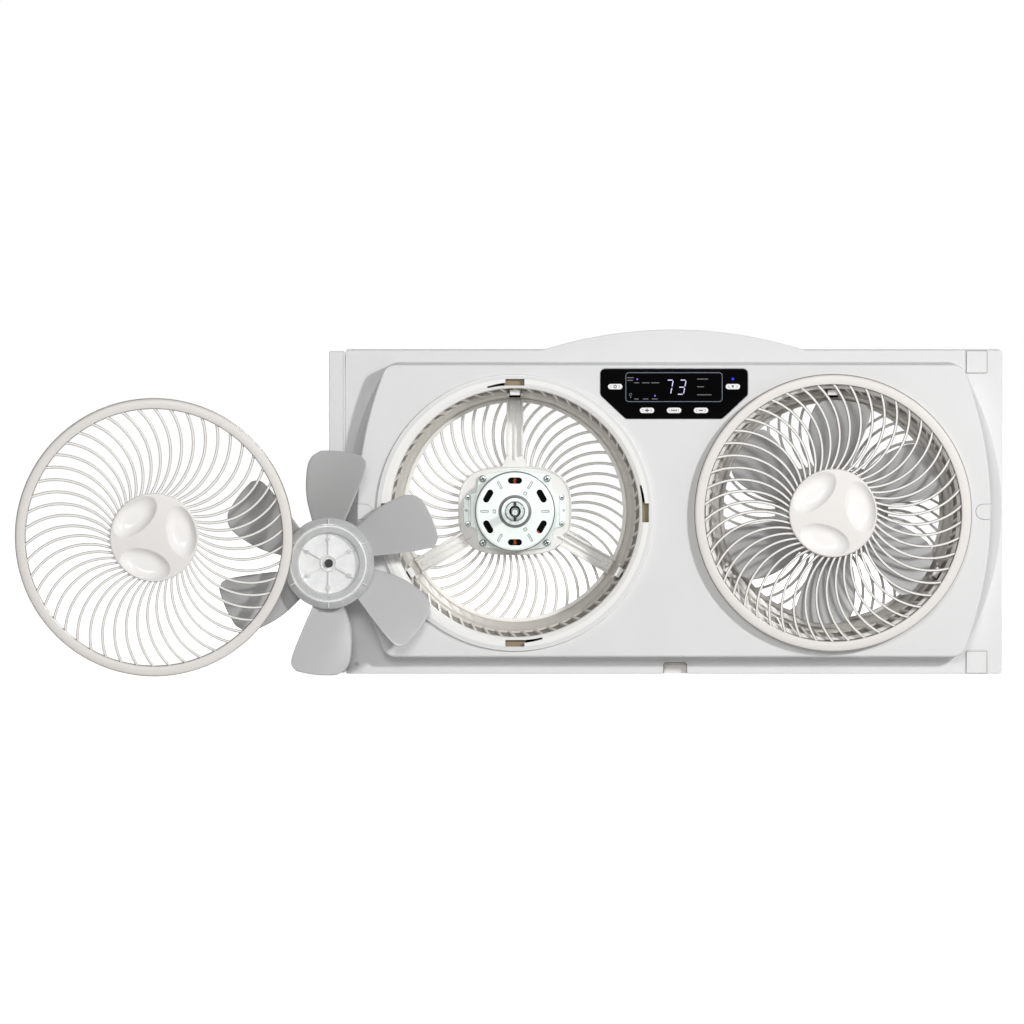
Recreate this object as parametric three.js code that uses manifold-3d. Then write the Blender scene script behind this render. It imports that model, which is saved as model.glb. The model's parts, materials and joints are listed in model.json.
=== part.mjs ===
// Twin window fan, in millimetres, +Z up, seen from the front along +Y.
// The right-hand fan is assembled. The left-hand fan has its grille and impeller taken off:
// both stand on the floor in front of the housing, to the left.
// Every piece is drawn in a front view (x right, y up, z towards the room) and the whole group is
// turned upright at the end. The origin is on the bottom wall, at the middle of its depth.

import * as THREE from 'three';
import { mergeVertices } from 'three/addons/utils/BufferGeometryUtils.js';
import Module from 'manifold-3d';

const wasm = await Module();
wasm.setup();

// ---- general fits ----
const FIT = 0.3;               // gap between two pieces that touch
const WALL = 2.6;              // moulded wall
const OVER = 1;                // how far a cutter runs past the face it opens
const DEG = Math.PI / 180;

// ---- facets of the round pieces ----
const ROUND = 36;              // ducts and their holes
const CAN_ROUND = 24;          // the motor's can
const HUB_ROUND = 24;
const SMALL_ROUND = 12;        // bearings, rotors and coils
const POST_ROUND = 10;
const PIN_ROUND = 8;
const HOLE_ROUND = 6;          // screws and their holes

// ---- ducts, from the blades outwards ----
const BLADE_TIP_R = 114.5;
const TIP_GAP = 4.3;           // between the blades and the duct
const MOUTH_FLARE = 8.2;       // how much the duct widens from its step to its mouth
const REAR_TAPER = 3.9;        // how much it narrows from its step to the back
const RING_BAND = 14;
const DUCT_RING_T = 3.7;
const DUCT_SEAT = 3.1;         // how far the ring overlaps the fascia's edge
const DUCT_WALL = 2.5;
const DUCT_STEP_Z = 17;
const DUCT_STEP_RISE = 3.5;
const MOUTH_KNEE = 0.3;        // share of the flare that the step takes
const DUCT_STEP_R = BLADE_TIP_R + TIP_GAP;
const DUCT_REAR_R = DUCT_STEP_R - REAR_TAPER;
const DUCT_FRONT_R = DUCT_STEP_R + MOUTH_FLARE;
const DUCT_RING_R = DUCT_FRONT_R + RING_BAND;
const DUCT_HOLE_R = DUCT_REAR_R + DUCT_WALL + FIT;

// ---- front fascia, round the ducts ----
const FAN_GAP = 21;            // from the middle of the housing to a duct's ring
const FACE_RIM = 8;            // from a duct's ring to the face's level edges
const LATCH_GAP = 4.5;         // from a duct's ring to the latch
const LATCH_L = 14.9;
const LATCH_H = 15.5;
const LATCH_D = 6.8;
const LATCH_TRAVEL = 2.5;
const LATCH_INSET = 0.6;       // from the latch to the edge of the face
const LATCH_DROP = 1;          // below the fascia's middle
const SIDE_LEAN = 11;          // how far the side walls lean out
const LEVEL_LEAN = 1.8;        // how far the upper and lower walls lean out
const FASCIA_RISE = 28;
const FACE_BOW = 29.6;          // how far its bowed sides fall back at the level edges
const FACE_FILLET = 14;
const FOOT_BOW = 44.6;
const FOOT_FILLET = 18;
const BOW_STEPS = 6;
const FILLET_STEPS = 2;
const FACE_HALF_H = DUCT_RING_R + FACE_RIM;
const FOOT_HALF_H = FACE_HALF_H + LEVEL_LEAN;
const bowRadius = (halfH, bow) => (halfH * halfH + bow * bow) / (2 * bow);
const FACE_BOW_R = bowRadius(FACE_HALF_H, FACE_BOW);
const FOOT_BOW_R = bowRadius(FOOT_HALF_H, FOOT_BOW);
const FAN_X = FAN_GAP + DUCT_RING_R;
const LATCH_IN_X = FAN_X + DUCT_RING_R + LATCH_GAP;
const LATCH_OUT_X = LATCH_IN_X + LATCH_L;
const FACE_HALF_W = LATCH_OUT_X + LATCH_INSET;
const FOOT_HALF_W = FACE_HALF_W + SIDE_LEAN;

// ---- rear housing ----
const HOUSING_D = 72;
const FLANGE_SIDE = 1;         // flange beside the fascia, where it is widest
const FLANGE_SILL = 16.2;      // flange below the fascia
const FLANGE_HEAD = 12.2;      // flange above it
const FLANGE_T = 3;
const FLANGE_SEAT = 9;         // width of the flange that carries the fascia's edge
const FAN_DROP = 2;            // how far the fans lie below the fascia's middle
const HOUSING_W = 2 * (FOOT_HALF_W + FLANGE_SIDE);
const HOUSING_H = FLANGE_SILL + 2 * FOOT_HALF_H + FLANGE_HEAD;
const FASCIA_MID_Y = FLANGE_SILL + FOOT_HALF_H;
const FAN_Y = FASCIA_MID_Y - FAN_DROP;
const LATCH_Y = FASCIA_MID_Y - LATCH_DROP;
const ARCH_CHORD = 268;
const ARCH_RADIUS = 440;
const ARCH_T = 10;
const ARCH_STEPS = 12;
const NOTCH_X = 1.5;           // middle of the cord notch
const NOTCH_W = 24.5;
const NOTCH_H = 11.7;
const NOTCH_R = 3;
const NOTCH_D = 20;

// ---- planes that several pieces share ----
const BACK_Z = -HOUSING_D / 2;
const FLANGE_Z = HOUSING_D / 2;
const FACE_Z = FLANGE_Z + FASCIA_RISE;
const DUCT_FRONT_Z = FACE_Z + FIT + DUCT_RING_T;
const GRILLE_REAR_Z = DUCT_FRONT_Z + FIT;

// ---- bayonet ----
const SLOT_COUNT = 4;
const SLOT_IN = 6;             // from the duct's mouth to the middle of the slots
const SLOT_R = DUCT_FRONT_R + SLOT_IN;
const SLOT_W = 19.4;
const SLOT_DEPTH = 6;
const GROOVE_ARC = 8.8;        // degrees of groove beyond the slot
const GROOVE_DEPTH = 3;
const GROOVE_STEPS = 3;
const LUG_TURN = 9.5;          // degrees from the slot to the locked place
const LUG_W = 13.4;
const LUG_T = 1.9;
const LUG_GAP = 0.4;
const LUG_TOP_Z = FACE_Z + FIT - LUG_GAP;
const LUG_REAR_Z = LUG_TOP_Z - LUG_T;

// ---- front grille ----
const GRILLE_LIP = 0.5;        // how far it stands over the duct's ring
const GRILLE_R = DUCT_RING_R + GRILLE_LIP;
const GRILLE_BAND = 11.3;
const GRILLE_T = 9.7;
const GRILLE_CHAMFER = 2.4;
const BAR_COUNT = 50;
const BAR_W = 2.6;
const BAR_T = 3;
const BAR_BACK = 2.7;          // from the ring's rear face to the bars
const BAR_ROOT = 1;            // how far a bar runs into the disc and the ring
const BAR_LAG = -3.5;          // degrees from a bar's inner end to its outer end
const BAR_BULGE = 15.5;
const BAR_STEPS = 3;
const DISC_R = 45.5;
const DISC_BACK = 1.6;
const DISC_T = 9.4;
const DISC_EDGE_W = 2;         // rounded edge of the disc
const DISC_EDGE_H = 2.5;
const DISC_CROWN = 0.8;
const DIMPLE_COUNT = 3;
const DIMPLE_R = 29.3;         // middle of the finger dimples
const DIMPLE_L = 53;
const DIMPLE_W = 29.4;
const DIMPLE_D = 5;
const DIMPLE_TURN = 11;

// ---- rear grille ----
const REAR_GRILLE_T = 4;
const REAR_GRILLE_BAND = 4;
const REAR_GRILLE_INSET = 2;   // in from the back face
const REAR_BAR_W = 2.4;
const REAR_BAR_LAG = -8.5;
const REAR_BAR_BULGE = 10;
const REAR_BAR_TURN = -2.9;    // degrees from the level line to the first bar's inner end
const REAR_BAR_IN = 0.5;       // in from the ring's two faces
const REAR_DISC_R = 46;

// ---- motor ----
const CAN_R = 41;
const CAN_WALL = 1.6;
const CAN_EDGE = 2;            // bevel of its front edge
const CAN_FRONT_Z = 14;
const CAN_REAR_Z = -14;
const SCREW_HEAD_R = 3.6;
const SCREW_HEAD_T = 2.2;
const SCREW_R = 1.6;
const SCREW_PLAY = 0.4;
const SCREW_CLEAR = 1.8;       // between a screw's head and the can
const SCREW_OFFSET = (CAN_R + SCREW_CLEAR + SCREW_HEAD_R) / Math.SQRT2;
const EAR_EDGE = 5.7;          // from a screw to the edges of its ear
const EAR_HALF = SCREW_OFFSET + EAR_EDGE;
const EAR_FILLET = 8;
const CAN_SLOTS = 6;
const CAN_SLOT_L = 14;
const CAN_SLOT_W = 6;
const CAN_SLOT_IN = 9.5;       // from the can's side to the middle of its slots
const BOSS_R = 17.4;
const BOSS_RISE = 1.6;
const BEARING_R = 9.3;
const BEARING_T = 6.5;
const SEAT_WALL = 2;
const SHAFT_R = 4;
const SHAFT_RUN = 0.35;        // radial running clearance
const SHAFT_FRONT_Z = 50;
const PIN_R = 1.5;
const PIN_L = 19.7;
const PIN_Z = 22;
const STATOR_FRONT_Z = 5;
const STATOR_REAR_Z = -11;
const ROTOR_GAP = 0.6;
const LEG_W = 5;
const LEG_T = 6;
const LEG_IN = 11;             // from the can's side to the middle of the coils' legs
const WINDING_R = CAN_R - LEG_IN;
const WINDING_T = 14;          // of the coil ends, from inside to outside
const WINDING_IN_R = WINDING_R - WINDING_T / 2;
const WINDING_OUT_R = WINDING_R + WINDING_T / 2;
const POLE_T = 3;              // of the core, between the coil ends and the rotor
const ROTOR_R = WINDING_IN_R - POLE_T;
const WINDING_REACH = 5.2;     // how far the coil ends stand off the core
const REAR_PLATE_T = 1.9;
const WING_REACH = 11.5;       // how far the wings stand out beside the can
const WING_W = 2 * (CAN_R + WING_REACH);
const WING_H = 36;
const CUP_IN = 7.4;            // how much smaller the rear cup is than the can
const CUP_R = CAN_R - CUP_IN;
const CUP_D = 11;

// ---- motor mount ----
const MOUNT_FRONT_Z = CAN_REAR_Z - FIT - REAR_PLATE_T - FIT;
const MOUNT_RIM = 7;           // how far its plate stands out round the can
const MOUNT_R = CAN_R + MOUNT_RIM;
const MOUNT_T = 3;
const MOUNT_WING_W = WING_W + 9;
const MOUNT_WING_H = WING_H + 8;
const MOUNT_EAR_HALF = EAR_HALF + 2.5;
const MOUNT_FILLET = 8;
const ARM_COUNT = 3;
const ARM_W = 17;
const ARM_ROOT = 4;            // how far an arm runs into the plate
const ARM_RIM = 2.5;
const ARM_RIM_H = 7;
const ARM_RIM_START = 9;       // from the plate to the rims

// ---- impeller ----
const HUB_R = 46.5;
const HUB_WALL = 2.3;
const HUB_FRONT_Z = 53;
const HUB_REAR_Z = 19;
const HUB_SHOULDER = 7;
const HUB_BAND = 15.5;         // raised band round the recess
const RECESS_R = HUB_R - HUB_BAND;
const RECESS_D = 6;
const HUB_BOSS_R = 12;
const HUB_BOSS_DRAFT = 1;
const HUB_BOSS_BACK = 0.8;     // in from the hub's rear edge
const HUB_RIB_W = 1.5;
const HUB_RIB_H = 2.5;
const HUB_RIB_START = 3;       // from the bore
const BLADE_COUNT = 6;
const BLADE_T = 2;
const BLADE_MID_Z = 40;
const BLADE_MID_X = 7;
const BLADE_HALF_CHORD = 30;
const BLADE_CAMBER = 3;
const BLADE_COLUMNS = 3;
// How the blade's two edges run from the hub to the tip: share of the way, then where each edge
// lies, in half chords.
const BLADE_EDGES = [
  [0, -0.57, 0.53],
  [0.4, -0.77, 0.9],
  [0.8, -0.73, 1.23],
  [0.94, -0.55, 1.26],
  [1, -0.27, 1.1],
];
const BLADE_SLOPE_ROOT = 0.7;
const BLADE_SLOPE_TIP = 0.34;
const BLADE_ROOT_SINK = 1.4;   // into the hub's wall

// ---- pieces taken off, where they stand ----
const LOOSE_GRILLE_X = -528.7;
const LOOSE_IMPELLER_X = -351.4;
const LOOSE_GAP = 5;           // from the duct to the impeller, and from it to the grille
const LOOSE_IMPELLER_Z = DUCT_FRONT_Z + LOOSE_GAP;
const LOOSE_GRILLE_Z = LOOSE_IMPELLER_Z + HUB_FRONT_Z - HUB_REAR_Z + LOOSE_GAP;

// ---- controls ----
const PANEL_HEAD = 4.4;        // from the face's upper edge to the panel
const PANEL_TOP_Y = FASCIA_MID_Y + FACE_HALF_H - PANEL_HEAD;
const PANEL_SIDE_H = 26.6;     // its level and its slanted height
const PANEL_SLANT_H = 24.3;
const PANEL_BEND_Y = PANEL_TOP_Y - PANEL_SIDE_H;
const PANEL_BOTTOM_Y = PANEL_BEND_Y - PANEL_SLANT_H;
const PANEL_BOTTOM_HALF_W = 49;
const PANEL_FILLET = 5;
const PANEL_T = 1.8;
const PANEL_SUNK = 1.2;
const PANEL_LEDGE = 3.5;
const WINDOW_W = 100;
const WINDOW_H = 31.3;
const WINDOW_DROP = 18.65;     // middle, below the panel's upper edge
const WINDOW_Y = PANEL_TOP_Y - WINDOW_DROP;
const WINDOW_T = 1.4;
const WINDOW_FILLET = 4;
const BUTTON_W = 14.8;
const BUTTON_H = 5.6;
const BUTTON_PROUD = 1.3;
const BUTTON_TRAVEL = 1.2;
const BUTTON_SKIRT = 1.1;
const BUTTON_SKIRT_T = 1.8;
const BUTTON_SIDE = 2.55;      // from the window to the buttons beside it
const BUTTON_EDGE = 7.65;      // from these buttons to the panel's sides
const BUTTON_STEP = 27.5;      // between the buttons below the window
const UPPER_BUTTON_DROP = 18.1;
const LOWER_BUTTON_DROP = 42.3;
const SIDE_BUTTON_X = WINDOW_W / 2 + BUTTON_SIDE + BUTTON_W / 2;
const PANEL_HALF_W = SIDE_BUTTON_X + BUTTON_W / 2 + BUTTON_EDGE;
const UPPER_BUTTON_Y = PANEL_TOP_Y - UPPER_BUTTON_DROP;
const LOWER_BUTTON_Y = PANEL_TOP_Y - LOWER_BUTTON_DROP;
const BUTTONS = [
  ['power_button', -SIDE_BUTTON_X, UPPER_BUTTON_Y],
  ['mode_button', SIDE_BUTTON_X, UPPER_BUTTON_Y],
  ['plus_button', -BUTTON_STEP, LOWER_BUTTON_Y],
  ['set_button', 0, LOWER_BUTTON_Y],
  ['minus_button', BUTTON_STEP, LOWER_BUTTON_Y],
];
const LED_RISE = 7.7;          // above the mode button
const LED_R = 1.5;
const LED_X = SIDE_BUTTON_X;
const LED_Y = UPPER_BUTTON_Y + LED_RISE;
const BOARD_T = 1.6;
const BOARD_DROP = 9;          // from the fascia's front face to the board's front
const POST_R = 2.2;
const DIGITS_W = 44;
const DIGITS_H = 24;
const DIGITS_X = 2;

// ---- corner caps and side extender ----
const CAP_T = 1.5;
const CAP_W = 21.5;
const CAP_H = 23;
const CAP_FILLET = 1;
const CAP_INSET = 15.25;       // from the housing's side
const CAP_X = HOUSING_W / 2 - CAP_INSET - CAP_W / 2;
const STRIP_W = 16.1;
const STRIP_D = 16;
const STRIP_END = 1;           // shorter than the housing at each end
const ARM_REACH = 111;
const RAIL_H = 12;
const RAIL_T = 6;
const RAIL_INSET = 6;
const RAIL_DROP = 6;           // behind the flange's front face

// ---- parts inside ----
const POWER_BOARD_W = 84;
const POWER_BOARD_H = 48;
const POWER_BOARD_Y = 60;
const BOSS_H = 5;
const TRANSFORMER = [30, 26, 20];
const RELAY = [13, 13, 10];
const RELAY_X = 7.5;
const CAPACITOR = [38, 24, 18];
const CAPACITOR_GAP = 23.4;    // from the housing's side wall

// ---- finishes ----
const finish = (color, roughness, metalness = 0) => ({ color, roughness, metalness });
const HOUSING_GREY = finish(0xe0e0e0, 0.5);
const WARM_WHITE = finish(0xf0eeeb, 0.45);
const BAR_WHITE = finish(0xece9e4, 0.4);
const BLADE_GREY = finish(0xb0b0b0, 0.35);
const ZINC = finish(0xc9d2d0, 0.35, 0.9);
const STEEL = finish(0x9aa0a2, 0.3, 1);
const COPPER = finish(0xb8672c, 0.35, 0.9);
const BLACK_GLOSS = finish(0x0b0b0d, 0.12);
const SMOKED = finish(0x14141a, 0.08);
const BUTTON_WHITE = finish(0xf4f4f4, 0.4);
const BOARD_GREEN = finish(0x1f5a35, 0.6);
const BLUE_LIGHT = finish(0x3050ff, 0.3);
const BLACK_PLASTIC = finish(0x202020, 0.6);

// ================= helpers =================

function solidOf(geometry) {
  const bare = geometry.clone();
  bare.deleteAttribute('normal');
  bare.deleteAttribute('uv');
  const merged = mergeVertices(bare, 1e-3);
  const index = merged.index.array;
  const kept = [];
  for (let i = 0; i < index.length; i += 3) {
    const [a, b, c] = [index[i], index[i + 1], index[i + 2]];
    if (a !== b && b !== c && c !== a) kept.push(a, b, c);
  }
  const mesh = new wasm.Mesh({
    numProp: 3,
    vertProperties: new Float32Array(merged.attributes.position.array),
    triVerts: new Uint32Array(kept),
  });
  return new wasm.Manifold(mesh);
}

function geometryOf(solid) {
  const mesh = solid.getMesh();
  const geometry = new THREE.BufferGeometry();
  geometry.setAttribute('position', new THREE.BufferAttribute(new Float32Array(mesh.vertProperties), 3));
  geometry.setIndex(new THREE.BufferAttribute(new Uint32Array(mesh.triVerts), 1));
  return geometry;
}

function join(...solids) {
  return solids.flat().reduce((whole, piece) => whole.add(piece));
}

function cut(base, ...cutters) {
  return base.subtract(join(...cutters));
}

const vector = ([x, y]) => new THREE.Vector2(x, y);

// A flat outline, given as points, made into a plate from z0 to z1.
function plate(points, z0, z1) {
  const shape = new THREE.Shape(points.map(vector));
  const geometry = new THREE.ExtrudeGeometry(shape, { depth: z1 - z0, bevelEnabled: false });
  geometry.translate(0, 0, z0);
  return solidOf(geometry);
}

function box(x0, x1, y0, y1, z0, z1) {
  const geometry = new THREE.BoxGeometry(x1 - x0, y1 - y0, z1 - z0);
  geometry.translate((x0 + x1) / 2, (y0 + y1) / 2, (z0 + z1) / 2);
  return solidOf(geometry);
}

// A closed profile of [radius, z] points, turned about the z axis.
function turned(profile, facets = ROUND) {
  const closed = [...profile, profile[0]];
  const twiceArea = closed.slice(1).reduce((sum, [r, z], i) => sum + closed[i][0] * z - r * closed[i][1], 0);
  const ordered = twiceArea > 0 ? closed : closed.reverse();
  const geometry = new THREE.LatheGeometry(ordered.map(vector), facets);
  geometry.rotateX(Math.PI / 2);
  return solidOf(geometry);
}

function drum(radius, z0, z1, facets = 24, x = 0, y = 0) {
  const geometry = new THREE.CylinderGeometry(radius, radius, z1 - z0, facets);
  geometry.rotateX(Math.PI / 2);
  geometry.translate(x, y, (z0 + z1) / 2);
  return solidOf(geometry);
}

function ring(inner, outer, z0, z1, facets = ROUND) {
  return turned([[inner, z0], [outer, z0], [outer, z1], [inner, z1]], facets);
}

// Points of an arc from angle a0 to a1, in degrees.
function arc(cx, cy, radius, a0, a1, steps) {
  const points = [];
  for (let i = 0; i <= steps; i += 1) {
    const angle = (a0 + ((a1 - a0) * i) / steps) * DEG;
    points.push([cx + radius * Math.cos(angle), cy + radius * Math.sin(angle)]);
  }
  return points;
}

function roundedBox(cx, cy, width, height, radius, steps = FILLET_STEPS) {
  const x = width / 2 - radius;
  const y = height / 2 - radius;
  return [
    ...arc(cx + x, cy + y, radius, 0, 90, steps),
    ...arc(cx - x, cy + y, radius, 90, 180, steps),
    ...arc(cx - x, cy - y, radius, 180, 270, steps),
    ...arc(cx + x, cy - y, radius, 270, 360, steps),
  ];
}

// A slot-shaped outline: two half circles joined by straight sides.
function pill(cx, cy, length, width, steps = 3) {
  const radius = width / 2;
  const x = length / 2 - radius;
  return [...arc(cx + x, cy, radius, -90, 90, steps), ...arc(cx - x, cy, radius, 90, 270, steps)];
}

// Part of a ring between two angles.
function sector(inner, outer, a0, a1, z0, z1, steps = 1) {
  const outside = arc(0, 0, outer, a0, a1, steps);
  const inside = arc(0, 0, inner, a1, a0, steps);
  return plate([...outside, ...inside], z0, z1);
}

const turn = (solid, degrees) => solid.rotate([0, 0, degrees]);

function around(count, solid, start = 0) {
  return Array.from({ length: count }, (_, i) => turn(solid, start + (360 * i) / count));
}

// A solid from a list of points and a list of triangles.
function meshed(points, faces) {
  const geometry = new THREE.BufferGeometry();
  geometry.setAttribute('position', new THREE.Float32BufferAttribute(points.flat(), 3));
  geometry.setIndex(faces.flat());
  return solidOf(geometry);
}

// A solid between two outlines that have the same number of points.
function loft(lower, z0, upper, z1) {
  const count = lower.length;
  const points = [...lower.map(([x, y]) => [x, y, z0]), ...upper.map(([x, y]) => [x, y, z1])];
  const faces = [];
  for (const face of THREE.ShapeUtils.triangulateShape(lower.map(vector), [])) {
    faces.push([face[2], face[1], face[0]]);
  }
  for (const face of THREE.ShapeUtils.triangulateShape(upper.map(vector), [])) {
    faces.push(face.map((i) => i + count));
  }
  for (let i = 0; i < count; i += 1) {
    const next = (i + 1) % count;
    faces.push([i, next, next + count], [i, next + count, i + count]);
  }
  return meshed(points, faces);
}

// ================= housing and fascia =================

// One fillet of the fascia's outline, from the end of a bow to the level edge.
function fasciaCorner(x, y, lean, radius, sideX, sideY) {
  const points = [];
  for (let i = 1; i <= FILLET_STEPS; i += 1) {
    const heading = lean + ((Math.PI / 2 - lean) * i) / FILLET_STEPS;
    const dx = radius * (Math.cos(lean) - Math.cos(heading));
    const dy = radius * (Math.sin(heading) - Math.sin(lean));
    points.push([sideX * (x - dx), y + sideY * dy]);
  }
  return points;
}

// The fascia's outline: two bowed sides, four fillets and two level edges.
function fasciaOutline(halfW, halfH, bowR, fillet) {
  const bowHalf = (halfH - fillet) / (1 - fillet / bowR);
  const lean = Math.asin(bowHalf / bowR);
  const centre = halfW - bowR;
  const endX = centre + bowR * Math.cos(lean);
  const top = FASCIA_MID_Y + bowHalf;
  const bottom = FASCIA_MID_Y - bowHalf;
  const right = arc(centre, FASCIA_MID_Y, bowR, -lean / DEG, lean / DEG, BOW_STEPS);
  const left = right.map(([x, y]) => [-x, 2 * FASCIA_MID_Y - y]);
  return [
    ...right,
    ...fasciaCorner(endX, top, lean, fillet, 1, 1),
    ...fasciaCorner(endX, top, lean, fillet, -1, 1).reverse(),
    ...left,
    ...fasciaCorner(endX, bottom, lean, fillet, -1, -1),
    ...fasciaCorner(endX, bottom, lean, fillet, 1, -1).reverse(),
  ];
}

const faceOutline = (inset) =>
  fasciaOutline(FACE_HALF_W - inset, FACE_HALF_H - inset, FACE_BOW_R - inset, FACE_FILLET - inset);
const footOutline = (inset) =>
  fasciaOutline(FOOT_HALF_W - inset, FOOT_HALF_H - inset, FOOT_BOW_R - inset, FOOT_FILLET - inset);

function railSlots(grow) {
  const z1 = FLANGE_Z - RAIL_DROP + grow;
  const z0 = FLANGE_Z - RAIL_DROP - RAIL_T - grow;
  const low = RAIL_INSET - grow;
  const high = RAIL_INSET + RAIL_H + grow;
  const inner = -HOUSING_W / 2 + ARM_REACH;
  return [[low, high], [HOUSING_H - high, HOUSING_H - low]].map(([y0, y1]) => [inner, y0, y1, z0, z1]);
}

function rearHousing() {
  const half = HOUSING_W / 2;
  const tub = box(-half, half, 0, HOUSING_H, BACK_Z, FLANGE_Z);
  const hollow = box(-half + WALL, half - WALL, WALL, HOUSING_H - WALL, BACK_Z + WALL, FLANGE_Z - FLANGE_T);
  const archLean = Math.asin(ARCH_CHORD / 2 / ARCH_RADIUS) / DEG;
  const archDrop = ARCH_RADIUS * Math.cos(archLean * DEG);
  const archLine = arc(0, HOUSING_H - archDrop, ARCH_RADIUS, 90 - archLean, 90 + archLean, ARCH_STEPS);
  const archFoot = [[-ARCH_CHORD / 2, HOUSING_H - OVER], [ARCH_CHORD / 2, HOUSING_H - OVER]];
  const arch = plate([...archLine, ...archFoot], FLANGE_Z - ARCH_T, FLANGE_Z);
  const front = plate(footOutline(FLANGE_SEAT), FLANGE_Z - FLANGE_T - OVER, FLANGE_Z + OVER);
  const holes = [-FAN_X, FAN_X].map((x) =>
    drum(DUCT_HOLE_R / Math.cos(Math.PI / ROUND), BACK_Z - OVER, BACK_Z + WALL + OVER, ROUND, x, FAN_Y));
  const notchTop = roundedBox(NOTCH_X, 0, NOTCH_W, 2 * NOTCH_H, NOTCH_R);
  const notch = plate(notchTop, FLANGE_Z - NOTCH_D, FLANGE_Z + OVER);
  const rails = railSlots(FIT).map(([, y0, y1, z0, z1]) =>
    box(-half - OVER, -half + WALL + OVER, y0, y1, z0, z1));
  const bosses = powerBoardCorners().map(([x, y]) =>
    drum(POST_R, BACK_Z + WALL - OVER, BACK_Z + WALL + BOSS_H, POST_ROUND, x, y));
  return join(cut(tub, hollow), arch, bosses).subtract(join(front, holes, notch, rails));
}

function panelOutline(grow) {
  const slope = Math.atan2(PANEL_BEND_Y - PANEL_BOTTOM_Y, PANEL_HALF_W - PANEL_BOTTOM_HALF_W);
  const bend = grow * Math.tan(slope / 2);
  const foot = grow * Math.tan(Math.PI / 4 - slope / 2);
  const corners = [
    [PANEL_BOTTOM_HALF_W + foot, PANEL_BOTTOM_Y - grow],
    [PANEL_HALF_W + grow, PANEL_BEND_Y - bend],
    [PANEL_HALF_W + grow, PANEL_TOP_Y + grow],
  ];
  const mirrored = corners.map(([x, y]) => [-x, y]).reverse();
  return filleted([...corners, ...mirrored], PANEL_FILLET + grow);
}

// Rounds every corner of a closed outline.
function filleted(corners, radius, steps = FILLET_STEPS) {
  const count = corners.length;
  const points = [];
  for (let i = 0; i < count; i += 1) {
    const corner = vector(corners[i]);
    const before = vector(corners[(i + count - 1) % count]).sub(corner).normalize();
    const after = vector(corners[(i + 1) % count]).sub(corner).normalize();
    const half = Math.acos(before.dot(after)) / 2;
    const reach = radius / Math.tan(half);
    const middle = before.clone().add(after).normalize().multiplyScalar(radius / Math.sin(half)).add(corner);
    const from = corner.clone().addScaledVector(before, reach).sub(middle);
    const to = corner.clone().addScaledVector(after, reach).sub(middle);
    const start = from.angle();
    let sweep = to.angle() - start;
    if (sweep > Math.PI) sweep -= 2 * Math.PI;
    if (sweep < -Math.PI) sweep += 2 * Math.PI;
    points.push(...arc(middle.x, middle.y, radius, start / DEG, (start + sweep) / DEG, steps));
  }
  return points;
}

function latchOutline(grow, outX) {
  const radius = LATCH_H / 2 + grow;
  const centre = LATCH_IN_X + LATCH_H / 2;
  return [
    ...arc(centre, LATCH_Y, radius, 90, 270, 6),
    [outX, LATCH_Y - radius],
    [outX, LATCH_Y + radius],
  ];
}

const mirrorX = (points) => points.map(([x, y]) => [-x, y]).reverse();

function boardPosts() {
  const sideX = PANEL_HALF_W - PANEL_LEDGE / 2;
  const footX = PANEL_BOTTOM_HALF_W - PANEL_FILLET - PANEL_LEDGE;
  const footY = PANEL_BOTTOM_Y + PANEL_LEDGE / 2;
  const sideY = PANEL_TOP_Y - PANEL_FILLET - PANEL_LEDGE - POST_R;
  return [[sideX, sideY], [-sideX, sideY], [footX, footY], [-footX, footY]];
}

function frontFascia() {
  const base = FLANGE_Z + FIT;
  const outer = loft(footOutline(0), base, faceOutline(0), FACE_Z);
  const inner = loft(footOutline(WALL), base - OVER, faceOutline(WALL), FACE_Z - WALL);
  const shell = cut(outer, inner);
  const posts = boardPosts().map(([x, y]) =>
    drum(POST_R, FACE_Z - BOARD_DROP + FIT, FACE_Z - WALL + OVER, POST_ROUND, x, y));
  const ductHoles = [-FAN_X, FAN_X].map((x) =>
    drum(DUCT_RING_R - DUCT_SEAT, FACE_Z - WALL - OVER, FACE_Z + OVER, ROUND, x, FAN_Y));
  const recess = plate(panelOutline(FIT), FACE_Z - PANEL_SUNK, FACE_Z + OVER);
  const window = plate(panelOutline(-PANEL_LEDGE), base, FACE_Z + OVER);
  const latchCut = latchOutline(FIT, FOOT_HALF_W + OVER);
  const latchBottom = FACE_Z - LATCH_D - LATCH_TRAVEL - FIT;
  const latches = [latchCut, mirrorX(latchCut)].map((line) => plate(line, latchBottom, FACE_Z + OVER));
  return join(shell, posts).subtract(join(ductHoles, recess, window, latches));
}

// ================= ducts and grilles =================

// Inside radius of a duct behind its vents, at height z.
function ductInside(z) {
  const share = (z - BACK_Z) / (DUCT_STEP_Z - BACK_Z);
  return DUCT_REAR_R + (DUCT_STEP_R - DUCT_REAR_R) * share;
}

function duct() {
  const stepFront = DUCT_STEP_Z + DUCT_STEP_RISE;
  const mouthR = DUCT_STEP_R + (DUCT_FRONT_R - DUCT_STEP_R) * MOUTH_KNEE;
  const under = FACE_Z + FIT;
  const tube = turned([
    [DUCT_REAR_R, BACK_Z],
    [DUCT_REAR_R + DUCT_WALL, BACK_Z],
    [DUCT_STEP_R + DUCT_WALL, DUCT_STEP_Z],
    [mouthR + DUCT_WALL, stepFront],
    [DUCT_FRONT_R + DUCT_WALL, under],
    [DUCT_RING_R, under],
    [DUCT_RING_R, DUCT_FRONT_Z],
    [DUCT_FRONT_R, DUCT_FRONT_Z],
    [mouthR, stepFront],
    [DUCT_STEP_R, DUCT_STEP_Z],
  ]);
  return tube.subtract(join(bayonetSlots()));
}

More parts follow.
